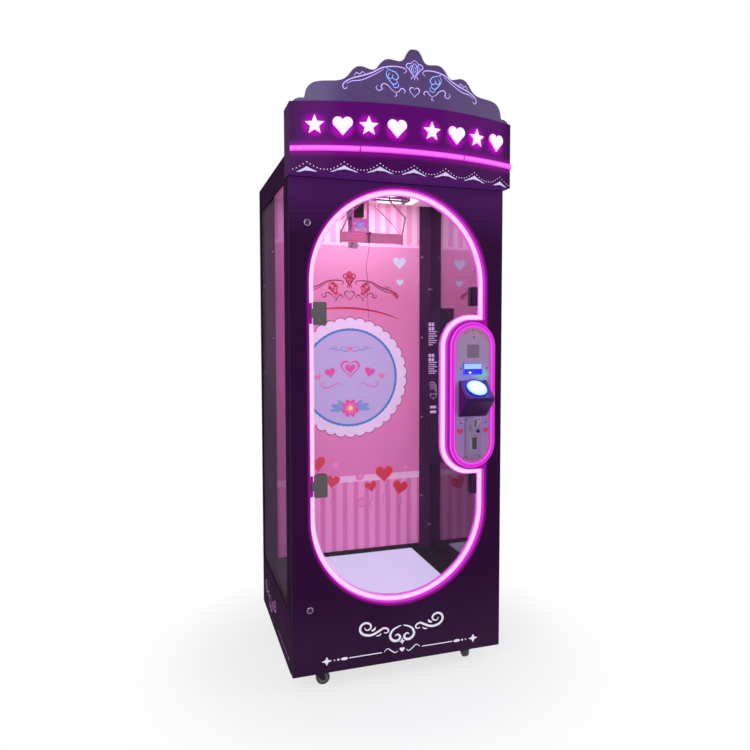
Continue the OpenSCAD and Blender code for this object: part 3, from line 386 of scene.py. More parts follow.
def lit(name, strength, *stops):
    """A lit tube or lens, or the painted glow of a tube on the sheet beside it. Its colour runs
    across it.
    """
    s = Skin(name)
    mottle = s.noise(60.0)
    shade = s.ramp(s.across() + (mottle - 0.5) * 0.05, stops)
    s.done(s.gloss(s.mix(0.86, shade, (24, 8, 28)), rough=mottle * 0.1 + 0.35, glow=shade,
                   strength=strength, Specular_IOR_Level=0.15))


def halo(name, shade, most):
    """A soft painted glow on the sheet behind a lit piece, which fades out across it."""
    s = Skin(name)
    cloud = s.noise(30.0)
    light = s.gloss((30, 6, 34), rough=cloud * 0.1 + 0.4, glow=shade, strength=1.0,
                    Specular_IOR_Level=0.0)
    s.done(s.cover((s.across() ** 1.6) * (cloud * 0.2 + 0.9) * most, s.clear(), light))


def clear_sheet(name, tint, smear, mirror, inside=0.0, film=0.0):
    """Clear glass: see-through face on, mirror-like at a slant, with faint wipe marks. The
    mirror's two values are for the left and the right side of the cabinet. The film is painted
    shade: a dark sheet over the right pane, deeper towards the floor, and over the low rear of
    the left pane. The value inside is added to the mirror on the right pane's inner face, which
    shows the printed board."""
    s = Skin(name)
    wipe = s.noise(5.0, 4.0, (1.0, 1.0, 0.35))
    pane = s.clear(tint)
    value = s.smooth(s.x, -0.1, 0.1, *mirror)
    if film:
        # Painted shade: a dark sheet over the glass, deeper towards the floor on the right pane and
        # at the low rear of the left pane.
        right = s.smooth(s.x, -0.1, 0.1)
        dark = s.gloss((58, 20, 62), rough=wipe * 0.1 + 0.3, Specular_IOR_Level=0.0)
        depth = s.smooth(s.z, 1.35, 0.70, 0.35, 1.0) * right * film
        depth = depth + s.smooth(s.z, 1.00, 0.72) * right * film
        rear = s.smooth(s.z, 1.20, 0.90) * s.smooth(s.y, 0.02, 0.14)
        depth = depth + rear * (1.0 - right) * (film * 1.6)
        pane = s.cover(depth, pane, dark)
        faded = s.smooth(s.z, 0.72, 1.00, 0.40, 1.0) * inside
        value = value + s.smooth(s.facing()[0], 0.3, -0.3) * right * faded
    shine = s.gloss((236, 228, 240), rough=wipe * 0.03 + 0.02, metal=1.0)
    slant = s.node("ShaderNodeFresnel", {}, {"IOR": 1.45})
    s.done(s.cover((slant ** 1.5) * value + wipe * smear, pane, shine))


# What each finish's function takes after the name. Most start with a darker and a lighter shade
FINISHES = {
    paint: {
        "cabinet_paint": ((42, 11, 48), (50, 16, 56), 0.38),
        "side_paint": ((44, 14, 48), (54, 19, 58), 0.42, 0.02),
        "black_coat": ((30, 26, 33), (42, 37, 46), 0.45, 0.1),
        "pillar_paint": ((62, 24, 68), (76, 36, 82), 0.42),
        "grey_coat": ((136, 130, 140), (160, 154, 164), 0.42, 0.3, 0.0),
        "clamp_grey": ((84, 78, 82), (104, 98, 102), 0.4, 0.25, 0.0),
    },
    sheet_metal: {
        "brushed_steel": ((176, 174, 182), (206, 204, 212)),
        "coin_plate_steel": ((112, 94, 128), (134, 114, 148), 0.34),
        "zinc_plate": ((160, 162, 168), (192, 192, 196), 0.38, (60.0, 60.0, 60.0)),
        "lock_rim": ((120, 104, 124), (150, 136, 154), 0.24, (200.0, 200.0, 200.0)),
        "lock_face": ((54, 22, 62), (72, 36, 80), 0.34, (200.0, 200.0, 200.0)),
        "dark_screw": ((60, 52, 66), (84, 74, 90), 0.36, (300.0, 300.0, 300.0)),
    },
    moulded: {
        "black_moulding": ((20, 18, 24), (32, 29, 36)),
        "plum_black_moulding": ((42, 14, 50), (54, 22, 62), 0.44, 0.12),
        "wheel_tread": ((58, 53, 56), (74, 68, 72), 0.6, 0.5, 420.0, 0.0002),
        "wheel_core": ((118, 110, 112), (136, 128, 130), 0.42),
        "toothed_belt": ((18, 18, 20), (28, 28, 30), 0.62, 0.5, 380.0, 0.0002),
        "rocker_red": ((176, 22, 26), (196, 34, 36), 0.28),
        "pale_pink_bar": ((222, 124, 166), (236, 146, 184), 0.26),
        "clip_plum": ((112, 44, 76), (136, 60, 94), 0.34),
        "cord_plum": ((92, 38, 78), (120, 60, 102), 0.8, 0.5, 1500.0, 0.0003),
    },
    ink: {
        # Painted light: the sign sheet glows a little though it is no lamp.
        "sign_sheet": ((228, 96, 190), (240, 124, 206), 0.25, 0.32),
        "white_ink": ((236, 230, 246), (250, 246, 255)),
        "lilac_ink": ((206, 196, 240), (220, 212, 248)),
        "violet_line": ((164, 138, 236), (208, 186, 252), 0.5),
        "blue_line": ((104, 138, 238), (142, 178, 252), 0.5),
        # Painted light: the purple side print glows a little though it is no lamp.
        "purple_ink": ((150, 40, 160), (176, 60, 186), 0.12),
        "red_ink": ((214, 42, 66), (226, 58, 78)),
        "wine_ink": ((122, 12, 56), (138, 20, 66)),
        "crimson_ink": ((178, 18, 52), (196, 28, 62)),
        "rose_ink": ((240, 112, 164), (246, 130, 176)),
        "pale_pink_ink": ((228, 122, 180), (234, 134, 188)),
        "medallion_white": ((238, 222, 242), (246, 232, 248)),
        "medallion_lavender": ((190, 180, 222), (198, 190, 228)),
        "blue_ink": ((44, 128, 196), (60, 142, 206)),
        "leaf_blue": ((120, 154, 206), (142, 172, 216)),
        "petal_pink": ((226, 66, 160), (236, 84, 174)),
        "flower_eye": ((246, 226, 120), (250, 236, 150)),
        "blush_ink": ((236, 142, 192), (240, 154, 200)),
        "pale_heart": ((204, 230, 240), (212, 238, 246)),
        "salmon_ink": ((196, 92, 108), (210, 112, 124)),
        "ruby_ink": ((176, 26, 74), (192, 40, 86)),
        "tube_joint": ((150, 14, 146), (170, 24, 166), 0.3),
        "grey_ink": ((62, 52, 76), (78, 68, 92)),
        "notice_ink": ((206, 176, 214), (220, 192, 226)),
    },
    glowing_panel: {
        # Painted light: the ceiling lining and the floor panel glow though they are no lamps.
        "ceiling_sheet": ((236, 184, 206), (246, 200, 218), 0.28, 0.9),
        "lit_floor_sheet": ((204, 206, 232), (216, 216, 242), 0.90, 0.20),
        "ceiling_lamp_sheet": ((252, 220, 244), (255, 236, 252), 2.2),
        "symbol_face": ((248, 236, 252), (254, 248, 255), 0.9, 0.15),
        "symbol_side": ((214, 20, 218), (232, 44, 236), 1.0, 0.2),
    },
    lit: {
        "window_tube": (0.97, (0.0, (204, 16, 200)), (0.18, (230, 84, 226)),
                        (0.32, (249, 178, 247)), (0.50, (255, 218, 253)), (0.72, (251, 192, 248)),
                        (0.87, (236, 108, 232)), (1.0, (218, 40, 214))),
        "header_tube": (0.98, (0.0, (224, 36, 224)), (0.5, (248, 116, 248)),
                        (1.0, (220, 30, 220))),
        "control_tube": (0.97, (0.0, (206, 20, 200)), (0.10, (240, 110, 236)),
                         (0.20, (214, 18, 206)), (0.66, (226, 26, 218)), (0.84, (238, 92, 234)),
                         (1.0, (190, 14, 186))),
        # Painted light: the window tube's glow on its return wall and on the door's lip.
        "return_wall_glow": (0.92, (0.0, (140, 4, 140)), (0.4, (190, 10, 190)),
                             (1.0, (222, 34, 220))),
        "door_lip": (0.9, (0.0, (190, 20, 186)), (0.5, (120, 10, 124)), (1.0, (150, 10, 150))),
        "button_lens": (1.0, (0.0, (250, 255, 252)), (0.6, (238, 253, 250)),
                        (1.0, (150, 222, 246))),
        "bezel_ring": (0.7, (0.0, (26, 10, 120)), (0.5, (50, 40, 230)), (1.0, (30, 16, 160))),
    },
    halo: {"symbol_halo": ((196, 20, 204), 0.75)},
    clear_sheet: {
        "door_glass": ((250, 244, 252), 0.006, (0.5, 0.5)),
        # The side glass's last value is the share of the painted shade over it.
        "side_glass": ((214, 184, 212), 0.01, (0.08, 0.5), 10.5, 0.32),
    },
}
for finish, table in FINISHES.items():
    for name, values in table.items():
        finish(name, *values)


# Finishes of one piece each

def header_paint():
    """The header's sprayed sheet, with painted light: lighter above its strip light and dark below
    it, the strip's glow painted on the faces beside it, and a painted glow on its underside.
    """
    s, base = sprayed("header_paint", (62, 10, 74), (74, 15, 88))
    # Painted light: lighter above the strip, where its light washes the sheet.
    upper = s.smooth(s.z, 1.872, 1.900) * s.smooth(abs(s.x), 0.398, 0.345)
    base = s.mix(upper, base, (90, 12, 104))
    # Painted light: the strip's magenta glow on the front faces beside it, and a glow on the faces
    # that look down.
    strip = s.smooth(abs(s.z - STRIP_Z * MM), 0.034, 0.006)
    _, front, under = s.facing()
    glow = s.mix(strip * s.smooth(front, -0.5, -0.8), (0, 0, 0), (108, 6, 108))
    glow = s.mix(s.smooth(under, -0.6, -0.9), glow, (58, 24, 78))
    lacquered(s, base, (0.22, 0.2), (0.03, 0.05), 0.2, glow)


def door_paint():
    """The door's sprayed sheet, with the tube's light painted round the window and above it."""
    s, base = sprayed("door_paint", (42, 11, 48), (50, 16, 56), 0.05)
    nearest = s.most(s.maths("MINIMUM", s.z, WINDOW_HIGH * MM), WINDOW_LOW * MM)
    beyond = s.z - nearest
    away = (s.x * s.x + beyond * beyond) ** 0.5 - WINDOW_R * MM
    front = s.smooth(s.facing()[1], -0.5, -0.8)
    # Painted light from the window's tube: a soft glow above the window and a bright rim round its
    # edge.
    glow = s.mix(s.smooth(s.z, 1.58, 1.82) * front, (0, 0, 0), (56, 21, 74))
    glow = s.mix((s.smooth(away, 0.014, 0.0) ** 1.6) * front, glow, (150, 6, 146))
    lacquered(s, base, (0.27, 0.22), (0.03, 0.04), 0.27, glow)


def board_paper():
    """The printed back board: striped paper above and below a plain pink field, whose colour
    changes with height as painted light and shade, lightest near its top.
    """
    s = Skin("board_print")
    pitch, field_low, field_high = 0.052, 0.600, 1.678
    stripe = ((s.x + 1.0) % pitch) < pitch / 2
    thin = ((s.x + 1.004) % pitch) < 0.003
    # Painted light and shade: the field's colour changes with height, lightest near its top.
    field = s.ramp(s.z - 0.65, [(0.0, (226, 122, 180)), (0.42, (230, 132, 186)),
                                (0.78, (219, 128, 174)), (0.97, (232, 160, 196))])
    field = s.mix(s.noise(5.0, 3.0) * 0.18, field, (250, 178, 212))
    low = s.mix(stripe, (228, 122, 180), (244, 158, 204))
    low = s.mix(thin * 0.5, low, (250, 190, 222))
    high = s.mix(stripe, (242, 178, 208), (252, 222, 236))
    shade = s.mix(s.z < field_low, field, low)
    shade = s.mix(s.z > field_high, shade, high)
    low_band = (s.z > 0.586) * (s.z < 0.616)
    high_line = (s.z > 1.6715) * (s.z < 1.6840)
    shade = s.mix(s.most(low_band * 0.75, high_line), shade, (252, 214, 236))
    s.done(s.gloss(shade, rough=s.noise(9.0, 3.0) * 0.12 + 0.40,
                   normal=s.bump(s.noise(1300.0, 1.0), 0.00003)))


def smoky_crest():
    """Smoke-tinted acrylic, a little see-through, with a painted glow that makes it paler towards
    its left end.
    """
    s = Skin("crest_smoke")
    cloud = s.noise(3.0, 4.0)
    shade = s.mix(cloud, (82, 62, 108), (95, 72, 121))
    # Painted light: a pale glow towards the left end.
    shade = s.mix(s.smooth(s.x, -0.20, -0.40) * 0.5, shade, (112, 104, 146))
    face = s.gloss(shade, rough=cloud * 0.08 + 0.14, Specular_IOR_Level=0.1)
    s.done(s.cover(s.smooth(s.x, -0.26, -0.40, 0.96, 0.88), s.clear((150, 130, 180)), face))


def display_screen():
    """The display: pale upper half, deep blue lower half, one bright spot."""
    s = Skin("display_screen")
    mid_z, half_wide, half_tall = 1.147, 0.0355, 0.0185
    shade = s.mix(s.smooth(s.z, mid_z - 0.0008, mid_z), (14, 6, 214), (132, 158, 250))
    spot = s.smooth(abs(s.x - 0.268) + abs(s.z - 1.133) * 1.6, 0.010, 0.001)
    shade = s.mix(spot, shade, (235, 240, 255))
    rim = s.most(abs(s.x - MID_X * MM) > half_wide, abs(s.z - mid_z) > half_tall)
    shade = s.mix(rim, shade, (40, 60, 190))
    s.done(s.gloss(shade, rough=s.noise(40.0) * 0.1 + 0.12, glow=shade, strength=0.85))


def button_moulding():
    """The button box's dark moulding, with painted light: its sloping top washed blue by the lit
    button, and a magenta glow on its left side.
    """
    s = Skin("button_box_moulding")
    cloud = s.noise(22.0, 3.0)
    base = s.mix(cloud, (44, 8, 62), (56, 14, 76))
    away = s.vector("DISTANCE", s.place, BUTTON_MID * MM, out="Value")
    top = s.vector("DOT_PRODUCT", s.normal(), BUTTON_OUT, out="Value")
    # Painted light: a blue wash on the top near the lit button, and a magenta glow on the faces
    # that look left.
    wash = s.smooth(away, 0.085, 0.036) * s.smooth(top, 0.75, 0.95)
    side = s.smooth(s.facing()[0], -0.6, -0.9)
    glow = s.mix(wash, (0, 0, 0), (96, 84, 196))
    glow = s.mix(side * 0.5, glow, (98, 8, 112))
    s.done(s.gloss(base, rough=(cloud - 0.5) * 0.14 + 0.34, normal=s.bump(s.noise(500.0), 0.00005),
                   glow=glow, strength=0.6, Specular_IOR_Level=0.12))


def control_film():
    """The control plate's pale film, with blue and teal light from the lamps round it painted on
    it.
    """
    s = Skin("control_film")
    mottle = s.noise(26.0, 3.0)
    shade = s.mix(s.smooth(s.z, 0.95, 1.12), (142, 98, 168), (150, 120, 164))
    shade = s.mix(mottle * 0.3, shade, (160, 132, 172))
    # Painted light: blue and teal patches by the display, from the lamps round it.
    near = abs(s.z - 1.125) * 9.0
    blue = s.smooth(near + abs(s.x - 0.252) * 7.0, 0.62, 0.05)
    teal = s.smooth(near + abs(s.x - 0.312) * 9.0, 0.55, 0.02)
    shade = s.mix(blue * 0.55, shade, (120, 130, 244))
    shade = s.mix(teal * 0.6, shade, (110, 226, 214))
    s.done(s.gloss(shade, rough=mottle * 0.12 + 0.30, normal=s.bump(s.noise(800.0), 0.00003)))


for finish in (header_paint, door_paint, board_paper, smoky_crest, display_screen,
               button_moulding, control_film):
    finish()


# Tools for the pieces, in millimetres

def piece(name, bm, body, skins, replaces=None, sharp=35.0):
    """Puts what was built on its body, with its finishes and the solid that it stands for."""
    made = add_mesh(name, bm)
    mesh = made.data
    for skin in skins.split():
        mesh.materials.append(SKINS[skin])
    mesh.polygons.foreach_set("use_smooth", [True] * len(mesh.polygons))
    mesh.set_sharp_from_angle(angle=math.radians(sharp))
    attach(made, body)
    if replaces:
        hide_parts(replaces)


def box_of(node):
    """A node's lowest and highest corners."""
    low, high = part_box(node)
    return low * 1000, high * 1000


def softened(node, width, segments=2, corner=0.0):
    """The solid's own mesh with its sharp edges rounded off, and first, where a corner radius is
    given, the corners of its plates, whose edges run from front to back."""
    bm = bmesh.new()
    bm.from_mesh(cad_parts[node].data)
    bmesh.ops.scale(bm, vec=(1000.0,) * 3, verts=bm.verts)
    bmesh.ops.remove_doubles(bm, verts=bm.verts, dist=0.02)
    bmesh.ops.dissolve_limit(bm, angle_limit=math.radians(2.0), verts=bm.verts, edges=bm.edges)

    def rounded(edges, offset, steps):
        bmesh.ops.bevel(bm, geom=edges, offset=offset, segments=steps, profile=0.5,
                        affect="EDGES", clamp_overlap=True)

    def folded(edge, angle):
        return len(edge.link_faces) == 2 and edge.calc_face_angle() > math.radians(angle)

    if corner:
        rounded([e for e in bm.edges if folded(e, 60.0) and e.is_convex
                 and abs((e.verts[0].co - e.verts[1].co).normalized().y) > 0.99
                 and all(near is e or near.calc_length() > 2.2 * corner
                         for v in e.verts for near in v.link_edges)], corner, 5)
    rounded([e for e in bm.edges if folded(e, 30.0)], width, segments)
    return bm


def turned(bm, profile, centre, axis, sides=48, skin=0, cap=True):
    """Turns a profile of (radius, height) round an axis through centre."""
    axis = Vector(axis).normalized()
    side = axis.orthogonal().normalized()
    other = axis.cross(side)
    rings = [[Vector(centre) + axis * height
              + (side * math.cos(a) + other * math.sin(a)) * radius for a in turn(sides)]
             for radius, height in profile]
    widest = max(radius for radius, _ in profile)
    rows = loft(bm, rings, [radius / widest for radius, _ in profile], skin)
    if cap:
        fill(bm, (rows[0], rows[-1]), skin)


def screw(bm, centre, axis, radius, high):
    """A round screw head in the piece's first finish, with a cross cut in its second."""
    axis = Vector(axis).normalized()
    turned(bm, [(radius, 0.0), (radius, high * 0.4), (radius * 0.8, high * 0.85),
                (radius * 0.35, high)], centre, axis, 20)
    side = axis.orthogonal().normalized()
    other = axis.cross(side)
    mid = Vector(centre) + axis * (high + 0.04)
    for a, b in ((side, other), (other, side)):
        cut = [mid + a * radius * 0.55 * s + b * radius * 0.12 * t
               for s, t in ((-1, -1), (1, -1), (1, 1), (-1, 1))]
        fill(bm, [[bm.verts.new(p) for p in cut]], 1)


def front_screws(name, body, skins, rows):
    """Screws that face forward. Each row holds their y, radius, height and (x, z) places."""
    bm = bmesh.new()
    for y, radius, high, places in rows:
        for x, z in places:
            screw(bm, (x, y, z), FORWARD, radius, high)
    piece(name, bm, body, skins + " black_moulding")


def slab(bm, low, high, skin=0, soften=0.0):
    """A flat block between two corners, its edges rounded by soften."""
    made = bmesh.ops.create_cube(bm, size=1.0)["verts"]
    low, high = Vector(low), Vector(high)
    for v in made:
        v.co = (low + high) / 2 + Vector([v.co[i] * (high - low)[i] for i in range(3)])
        for f in v.link_faces:
            f.material_index = skin
    if soften:
        edges = {e for v in made for e in v.link_edges}
        bmesh.ops.bevel(bm, geom=list(edges), offset=soften, segments=2, profile=0.5,
                        affect="EDGES", clamp_overlap=True, material=-1)


def heart_points(u, v, size, tilt=0.0):
    """A heart's outline, tilted by degrees."""
    c, s = math.cos(math.radians(tilt)), math.sin(math.radians(tilt))
    points = []
    for t in turn(28):
        a = 16 * math.sin(t) ** 3
        b = 13 * math.cos(t) - 5 * math.cos(2 * t) - 2 * math.cos(3 * t) - math.cos(4 * t) + 2.5
        points.append((u + (a * c - b * s) * size / 32, v + (a * s + b * c) * size / 32))
    return points


class Print:
    """Thin flat shapes of ink, each at its lift before a face. The face turns (u, v, lift) into
    a place in the frame."""

    def __init__(self, face):
        self.bm = bmesh.new()
        self.face = face

    def shape(self, points, skin=0, lift=0.3):
        fill(self.bm, [[self.bm.verts.new(self.face(u, v, lift)) for u, v in points]], skin)

    def band(self, rings, skin, lift, **joins):
        loft(self.bm, [[self.face(u, v, lift) for u, v in ring] for ring in rings], skin=skin,
             **joins)

    def box(self, left, low, right, high, skin=0, lift=0.3):
        self.shape([(left, low), (right, low), (right, high), (left, high)], skin, lift)

    def disc(self, u, v, radius, skin=0, lift=0.3, lobes=0, wave=0.0, sides=24, squash=1.0):
        """A disc, or a scalloped one with its lobes cut in by wave."""
        points = []
        for a in turn(max(sides, lobes * 8)):
            r = radius - wave * (1 - abs(math.sin(a * lobes / 2))) ** 1.6
            points.append((u + r * math.cos(a), v + r * squash * math.sin(a)))
        self.shape(points, skin, lift)

    def line(self, knots, width, skin=0, lift=0.3, tip=0.25):
        """A brush line through the knots, widest in its middle."""
        points = smooth_line([(u, v, 0) for u, v in knots], 6)
        last = len(points) - 1
        rows = []
        for i, p in enumerate(points):
            along = (points[min(i + 1, last)] - points[max(i - 1, 0)]).normalized()
            swell = math.sin(math.pi * i / last) if 0 < i < last else 0.0
            half = Vector((-along.y, along.x, 0.0)) * width / 2 * (tip + (1 - tip) * swell ** 0.7)
            rows.append([(p + half).xy, (p - half).xy])
        self.band(rows, skin, lift, closed=False)

    def both(self, mid, knots, *rest):
        """The same line on the right and on the left of a middle."""
        for half in (1, -1):
            self.line([(mid + half * u, v) for u, v in knots], *rest)

    def heart(self, u, v, size, skin=0, lift=0.3, tilt=0.0):
        self.shape(heart_points(u, v, size, tilt), skin, lift)

    def heart_line(self, u, v, size, width, skin=0, lift=0.3):
        self.band([heart_points(u, v, size + wide) for wide in (width, -width)], skin, lift)

    def star(self, u, v, size, points=4, waist=0.28, skin=0, squash=1.0):
        ring = []
        for i in range(points * 2):
            a = math.pi * i / points + math.pi / 2
            r = size * (waist if i % 2 else 1.0)
            ring.append((u + r * squash * math.cos(a), v + r * math.sin(a)))
        self.shape(ring, skin)


def front_face(y):
    return lambda u, v, lift: (u, y - lift, v)


def bow_face(radius):
    return lambda u, v, lift: (u, BOW_Y - math.sqrt((radius + lift) ** 2 - u * u), v)


def left_face(u, v, lift):
    return (-SIDE - lift, u, v)


def right_face(u, v, lift):
    return (SIDE + lift, u, v)


header_face = bow_face(BOW_R)
crest_face = bow_face(BOW_R - 3.3)


def arc(x, z, radius, start, end, steps):
    angles = [math.radians(start + (end - start) * i / steps) for i in range(steps + 1)]
    return [(x + radius * math.cos(a), z + radius * math.sin(a)) for a in angles]


def tongue_edge(radius, steps):
    """The tongue's left edge, from its top to its bottom."""
    return (arc(MID_X, TONGUE_HIGH, radius, 90, 180, steps)
            + arc(MID_X, TONGUE_LOW, radius, 180, 270, steps))


def window_outline(inset):
    """The window's edge moved inward, always with the same number of points."""
    r = WINDOW_R - inset
    tongue = TONGUE_R + inset
    return ([(r, TONGUE_LOW - tongue), (r, WINDOW_LOW)]
            + arc(0, WINDOW_LOW, r, 0, -180, 72)[1:] + arc(0, WINDOW_HIGH, r, 180, 0, 72)
            + [(r, TONGUE_HIGH + tongue)] + tongue_edge(tongue, 24))


def control_outline(inset):
    """A stadium round the controls."""
    r = 90.0 - inset
    return arc(MID_X, TONGUE_HIGH, r, 0, 180, 32) + arc(MID_X, TONGUE_LOW, r, 180, 360, 32)


def tube(name, outline, profile, skin, replaces=None, wrap=True):
    """Lofts an outline that moves inward: the profile holds (inset, y, across)."""
    bm = bmesh.new()
    loft(bm, [[(x, y, z) for x, z in outline(inset)] for inset, y, _ in profile],
         [across for _, _, across in profile], wrap=wrap)
    piece(name, bm, "front_door", skin, replaces, sharp=50.0)


# Lit tubes of the window, the controls and the header

def door_tubes():
    """The tubes, and their light painted on the window's wall and on the lip by the controls."""
    tube("window_neon_tube", window_outline,
         [(0.5, -268.8, 0.0), (0.5, -277.0, 0.08), (2.2, -280.4, 0.2), (6.0, -281.9, 0.4),
          (11.0, -282.0, 0.5), (16.0, -281.9, 0.62), (19.8, -280.4, 0.8), (21.8, -277.0, 0.92),
          (21.8, -268.8, 1.0)], "window_tube", "window_neon")
    tube("return_wall_glow", window_outline,
         [(0.9, -301.6, 0.0), (0.9, -296.0, 0.35), (0.9, -290.0, 0.7), (0.9, -278.0, 1.0)],
         "return_wall_glow", wrap=False)
    bm = bmesh.new()
    loft(bm, [[(x, FRONT - 0.25, z) for x, z in tongue_edge(r, 48)] for r in (90.2, 93.0, 96.8)],
         (1.0, 0.5, 0.0), closed=False)
    piece("door_lip_glow", bm, "front_door", "door_lip")
    back = box_of("control_ring")[1].y
    tube("control_neon_tube", control_outline,
         [(0.0, back, 0.0), (0.0, -309.5, 0.06), (1.8, -312.6, 0.16), (5.5, -313.9, 0.34),
          (9.0, -314.0, 0.5), (12.5, -313.7, 0.7), (16.2, -312.2, 0.84), (18.0, -309.5, 0.94),
          (18.0, back, 1.0)], "control_tube", "control_ring")


def header_tube():
    """The header's lit strip, with a dark joint at two places."""
    profile = [(0.0, -9.0, 0.0), (5.0, -9.0, 0.1), (8.2, -7.2, 0.25), (9.8, -3.0, 0.45),
               (9.8, 3.0, 0.6), (8.2, 7.2, 0.8), (5.0, 9.0, 0.95), (0.0, 9.0, 1.0)]
    half_wide, spans = 402.6, 96
    bm = bmesh.new()
    rows = loft(bm, [[header_face(half_wide * (2 * i / spans - 1), STRIP_Z + up, out + 0.05)
                      for i in range(spans + 1)] for out, up, _ in profile],
                [across for _, _, across in profile], wrap=True, closed=False)
    fill(bm, [[row[end] for row in rows] for end in (0, -1)])
    piece("header_neon_tube", bm, "cabinet", "header_tube", "header_neon", 50.0)
    bm = bmesh.new()
    for x in (-184.0, 186.0):
        loft(bm, [[header_face(x + dx, STRIP_Z + up * 1.06, out + 0.25) for dx in (-2.2, 2.2)]
                  for out, up, _ in profile], closed=False)
    piece("header_tube_joints", bm, "cabinet", "tube_joint")


# The header's symbols, crest lines and scalloped trim

def loose_parts(mesh):
    """The separate pieces of a mesh, as boxes in millimetres, from left to right."""
    bm = bmesh.new()
    bm.from_mesh(mesh)
    seen, boxes = set(), []
    for start in bm.verts:
        if start in seen:
            continue
        seen.add(start)
        group, wait = [], [start]
        while wait:
            v = wait.pop()
            group.append(v.co * 1000)
            for other in (e.other_vert(v) for e in v.link_edges):
                if other not in seen:
                    seen.add(other)
                    wait.append(other)
        boxes.append([[f(p[k] for p in group) for k in range(3)] for f in (min, max)])
    bm.free()
    return sorted(boxes)


def header_symbols():
    """The raised symbols, each with a painted glow behind it."""
    bm = softened("header_symbols", 0.8)
    for f in bm.faces:
        f.material_index = 0 if f.normal.y < -0.6 else 1
    piece("lit_symbols", bm, "cabinet", "symbol_face symbol_side", "header_symbols")
    symbols = []
    for low, high in loose_parts(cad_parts["header_symbols"].data):
        if symbols and low[0] < symbols[-1][1][0]:
            before = symbols.pop()
            low = [min(a, b) for a, b in zip(before[0], low)]
            high = [max(a, b) for a, b in zip(before[1], high)]
        symbols.append([low, high])
    bm = bmesh.new()
    for low, high in symbols:
        u, v = (low[0] + high[0]) / 2, (low[2] + high[2]) / 2 - 2.0
        half = (high[2] - low[2]) / 2
        radii = [half * share for share in (0.5, 0.98, 1.22, 1.55)]
        loft(bm, [[header_face(u + r * math.cos(a), v + r * math.sin(a), 0.25) for a in turn(48)]
                  for r in radii], (1.0, 0.9, 0.5, 0.0))
    piece("symbol_halos", bm, "cabinet", "symbol_halo")


# The ornament's lines on the right of its middle: knots, width, and which of its two inks
ORNAMENT = [
    ([(40, 60), (30, 68), (40, 78), (78, 80), (118, 72), (152, 54), (188, 41), (220, 32),
      (246, 18), (254, 4), (246, -5), (238, 3)], 3.0, 0),
    ([(112, 68), (150, 45), (190, 27), (222, 22), (242, 12)], 2.2, 0),
    ([(176, 47), (186, 54), (196, 46), (208, 50), (216, 38)], 2.0, 0),
    ([(108, 74), (88, 66), (70, 60), (60, 47), (68, 36), (82, 42), (78, 54)], 2.6, 1),
    ([(97, 68), (104, 52), (94, 34), (78, 20), (64, 28), (70, 38)], 2.6, 1),
    ([(90, 58), (98, 46), (88, 38), (78, 46)], 2.2, 1),
    ([(84, 26), (74, 10), (60, 14), (60, 26)], 2.2, 1),
    ([(134, 14), (140, 4), (130, -4), (118, 2), (122, 12), (112, 20), (96, 14), (84, 2),
      (70, -6)], 2.4, 0),
    ([(70, -6), (58, -2), (50, 8), (40, 8), (34, 0), (40, -6)], 2.4, 0),
    ([(70, -6), (66, -16), (74, -20)], 2.2, 0),
]
BUD_FOOT = 42
BUD = [
    ([(0, 42), (-3, 54), (-12, 64), (-20, 76), (-30, 84), (-26, 94), (-14, 96), (-8, 102),
      (0, 108)], 2.4, 0),
    ([(0, 56), (-12, 74), (-6, 90), (0, 98)], 2.2, 0),
    ([(-20, 78), (-14, 88), (-4, 92)], 2.0, 1),
    ([(0, 66), (-5, 76), (0, 86)], 2.0, 1),
    ([(-3, 54), (-10, 50), (-12, 42)], 2.0, 0),
]


def ornament(art, u, v, size, inks, thick, lift, reach=1.0, rise=1.0, heart=36.0):
    """The mirrored scrolls with a bud above and a heart between them. Each line lies a little
    above the last, so that none share a plane where they cross."""
    bud = [([(a, BUD_FOOT + (b - BUD_FOOT) * rise) for a, b in knots], width, shade)
           for knots, width, shade in BUD]
    for half in (1, -1):
        for knots, width, shade in ORNAMENT + bud:
            art.line([(u + half * a * size * (reach if abs(a) > 40 else 1.0), v + b * size)
                      for a, b in knots], width * thick, inks[shade], lift)
            lift += 0.012
    art.heart_line(u, v + (heart - 36) * 0.3, heart * size, 2.4 * thick, inks[0], lift)


def crest_lines():
    art = Print(crest_face)
    ornament(art, 2, 2081, 0.97, (0, 1), thick=1.25, lift=0.25, reach=0.97)
    piece("crest_scrolls", art.bm, "cabinet", "violet_line blue_line")


def fascia_trim():
    """Seven pointed scallops, with a dotted line that hangs between their tips."""
    art = Print(header_face)
    pitch, foot, dots_top, dots_sag = 117.0, 1808.5, 1840.0, 24.0
    for i in range(-3, 4):
        u = pitch * i
        width, tip = (45.0, 1830.0) if abs(i) < 3 else (33.0, 1826.0)
        edge = [(width * (1 - t) ** 1.2, foot + (tip - foot) * t)
                for t in (0.0, 0.15, 0.3, 0.45, 0.6, 0.75, 0.9)]
        art.shape([(u - a, b) for a, b in edge] + [(u, tip)]
                  + [(u + a, b) for a, b in edge[::-1]])
        for k in range(-5, 6):
            dot = u + pitch * k / 11
            if abs(dot) < 396:
                sag = dots_sag * math.sin(abs(k) / 5 * math.pi / 2) ** 1.1
                art.disc(dot, dots_top - sag, 1.7, 1, sides=10)
    piece("scalloped_trim", art.bm, "cabinet", "lilac_ink white_ink")


# White print on the door's base and purple print on the side

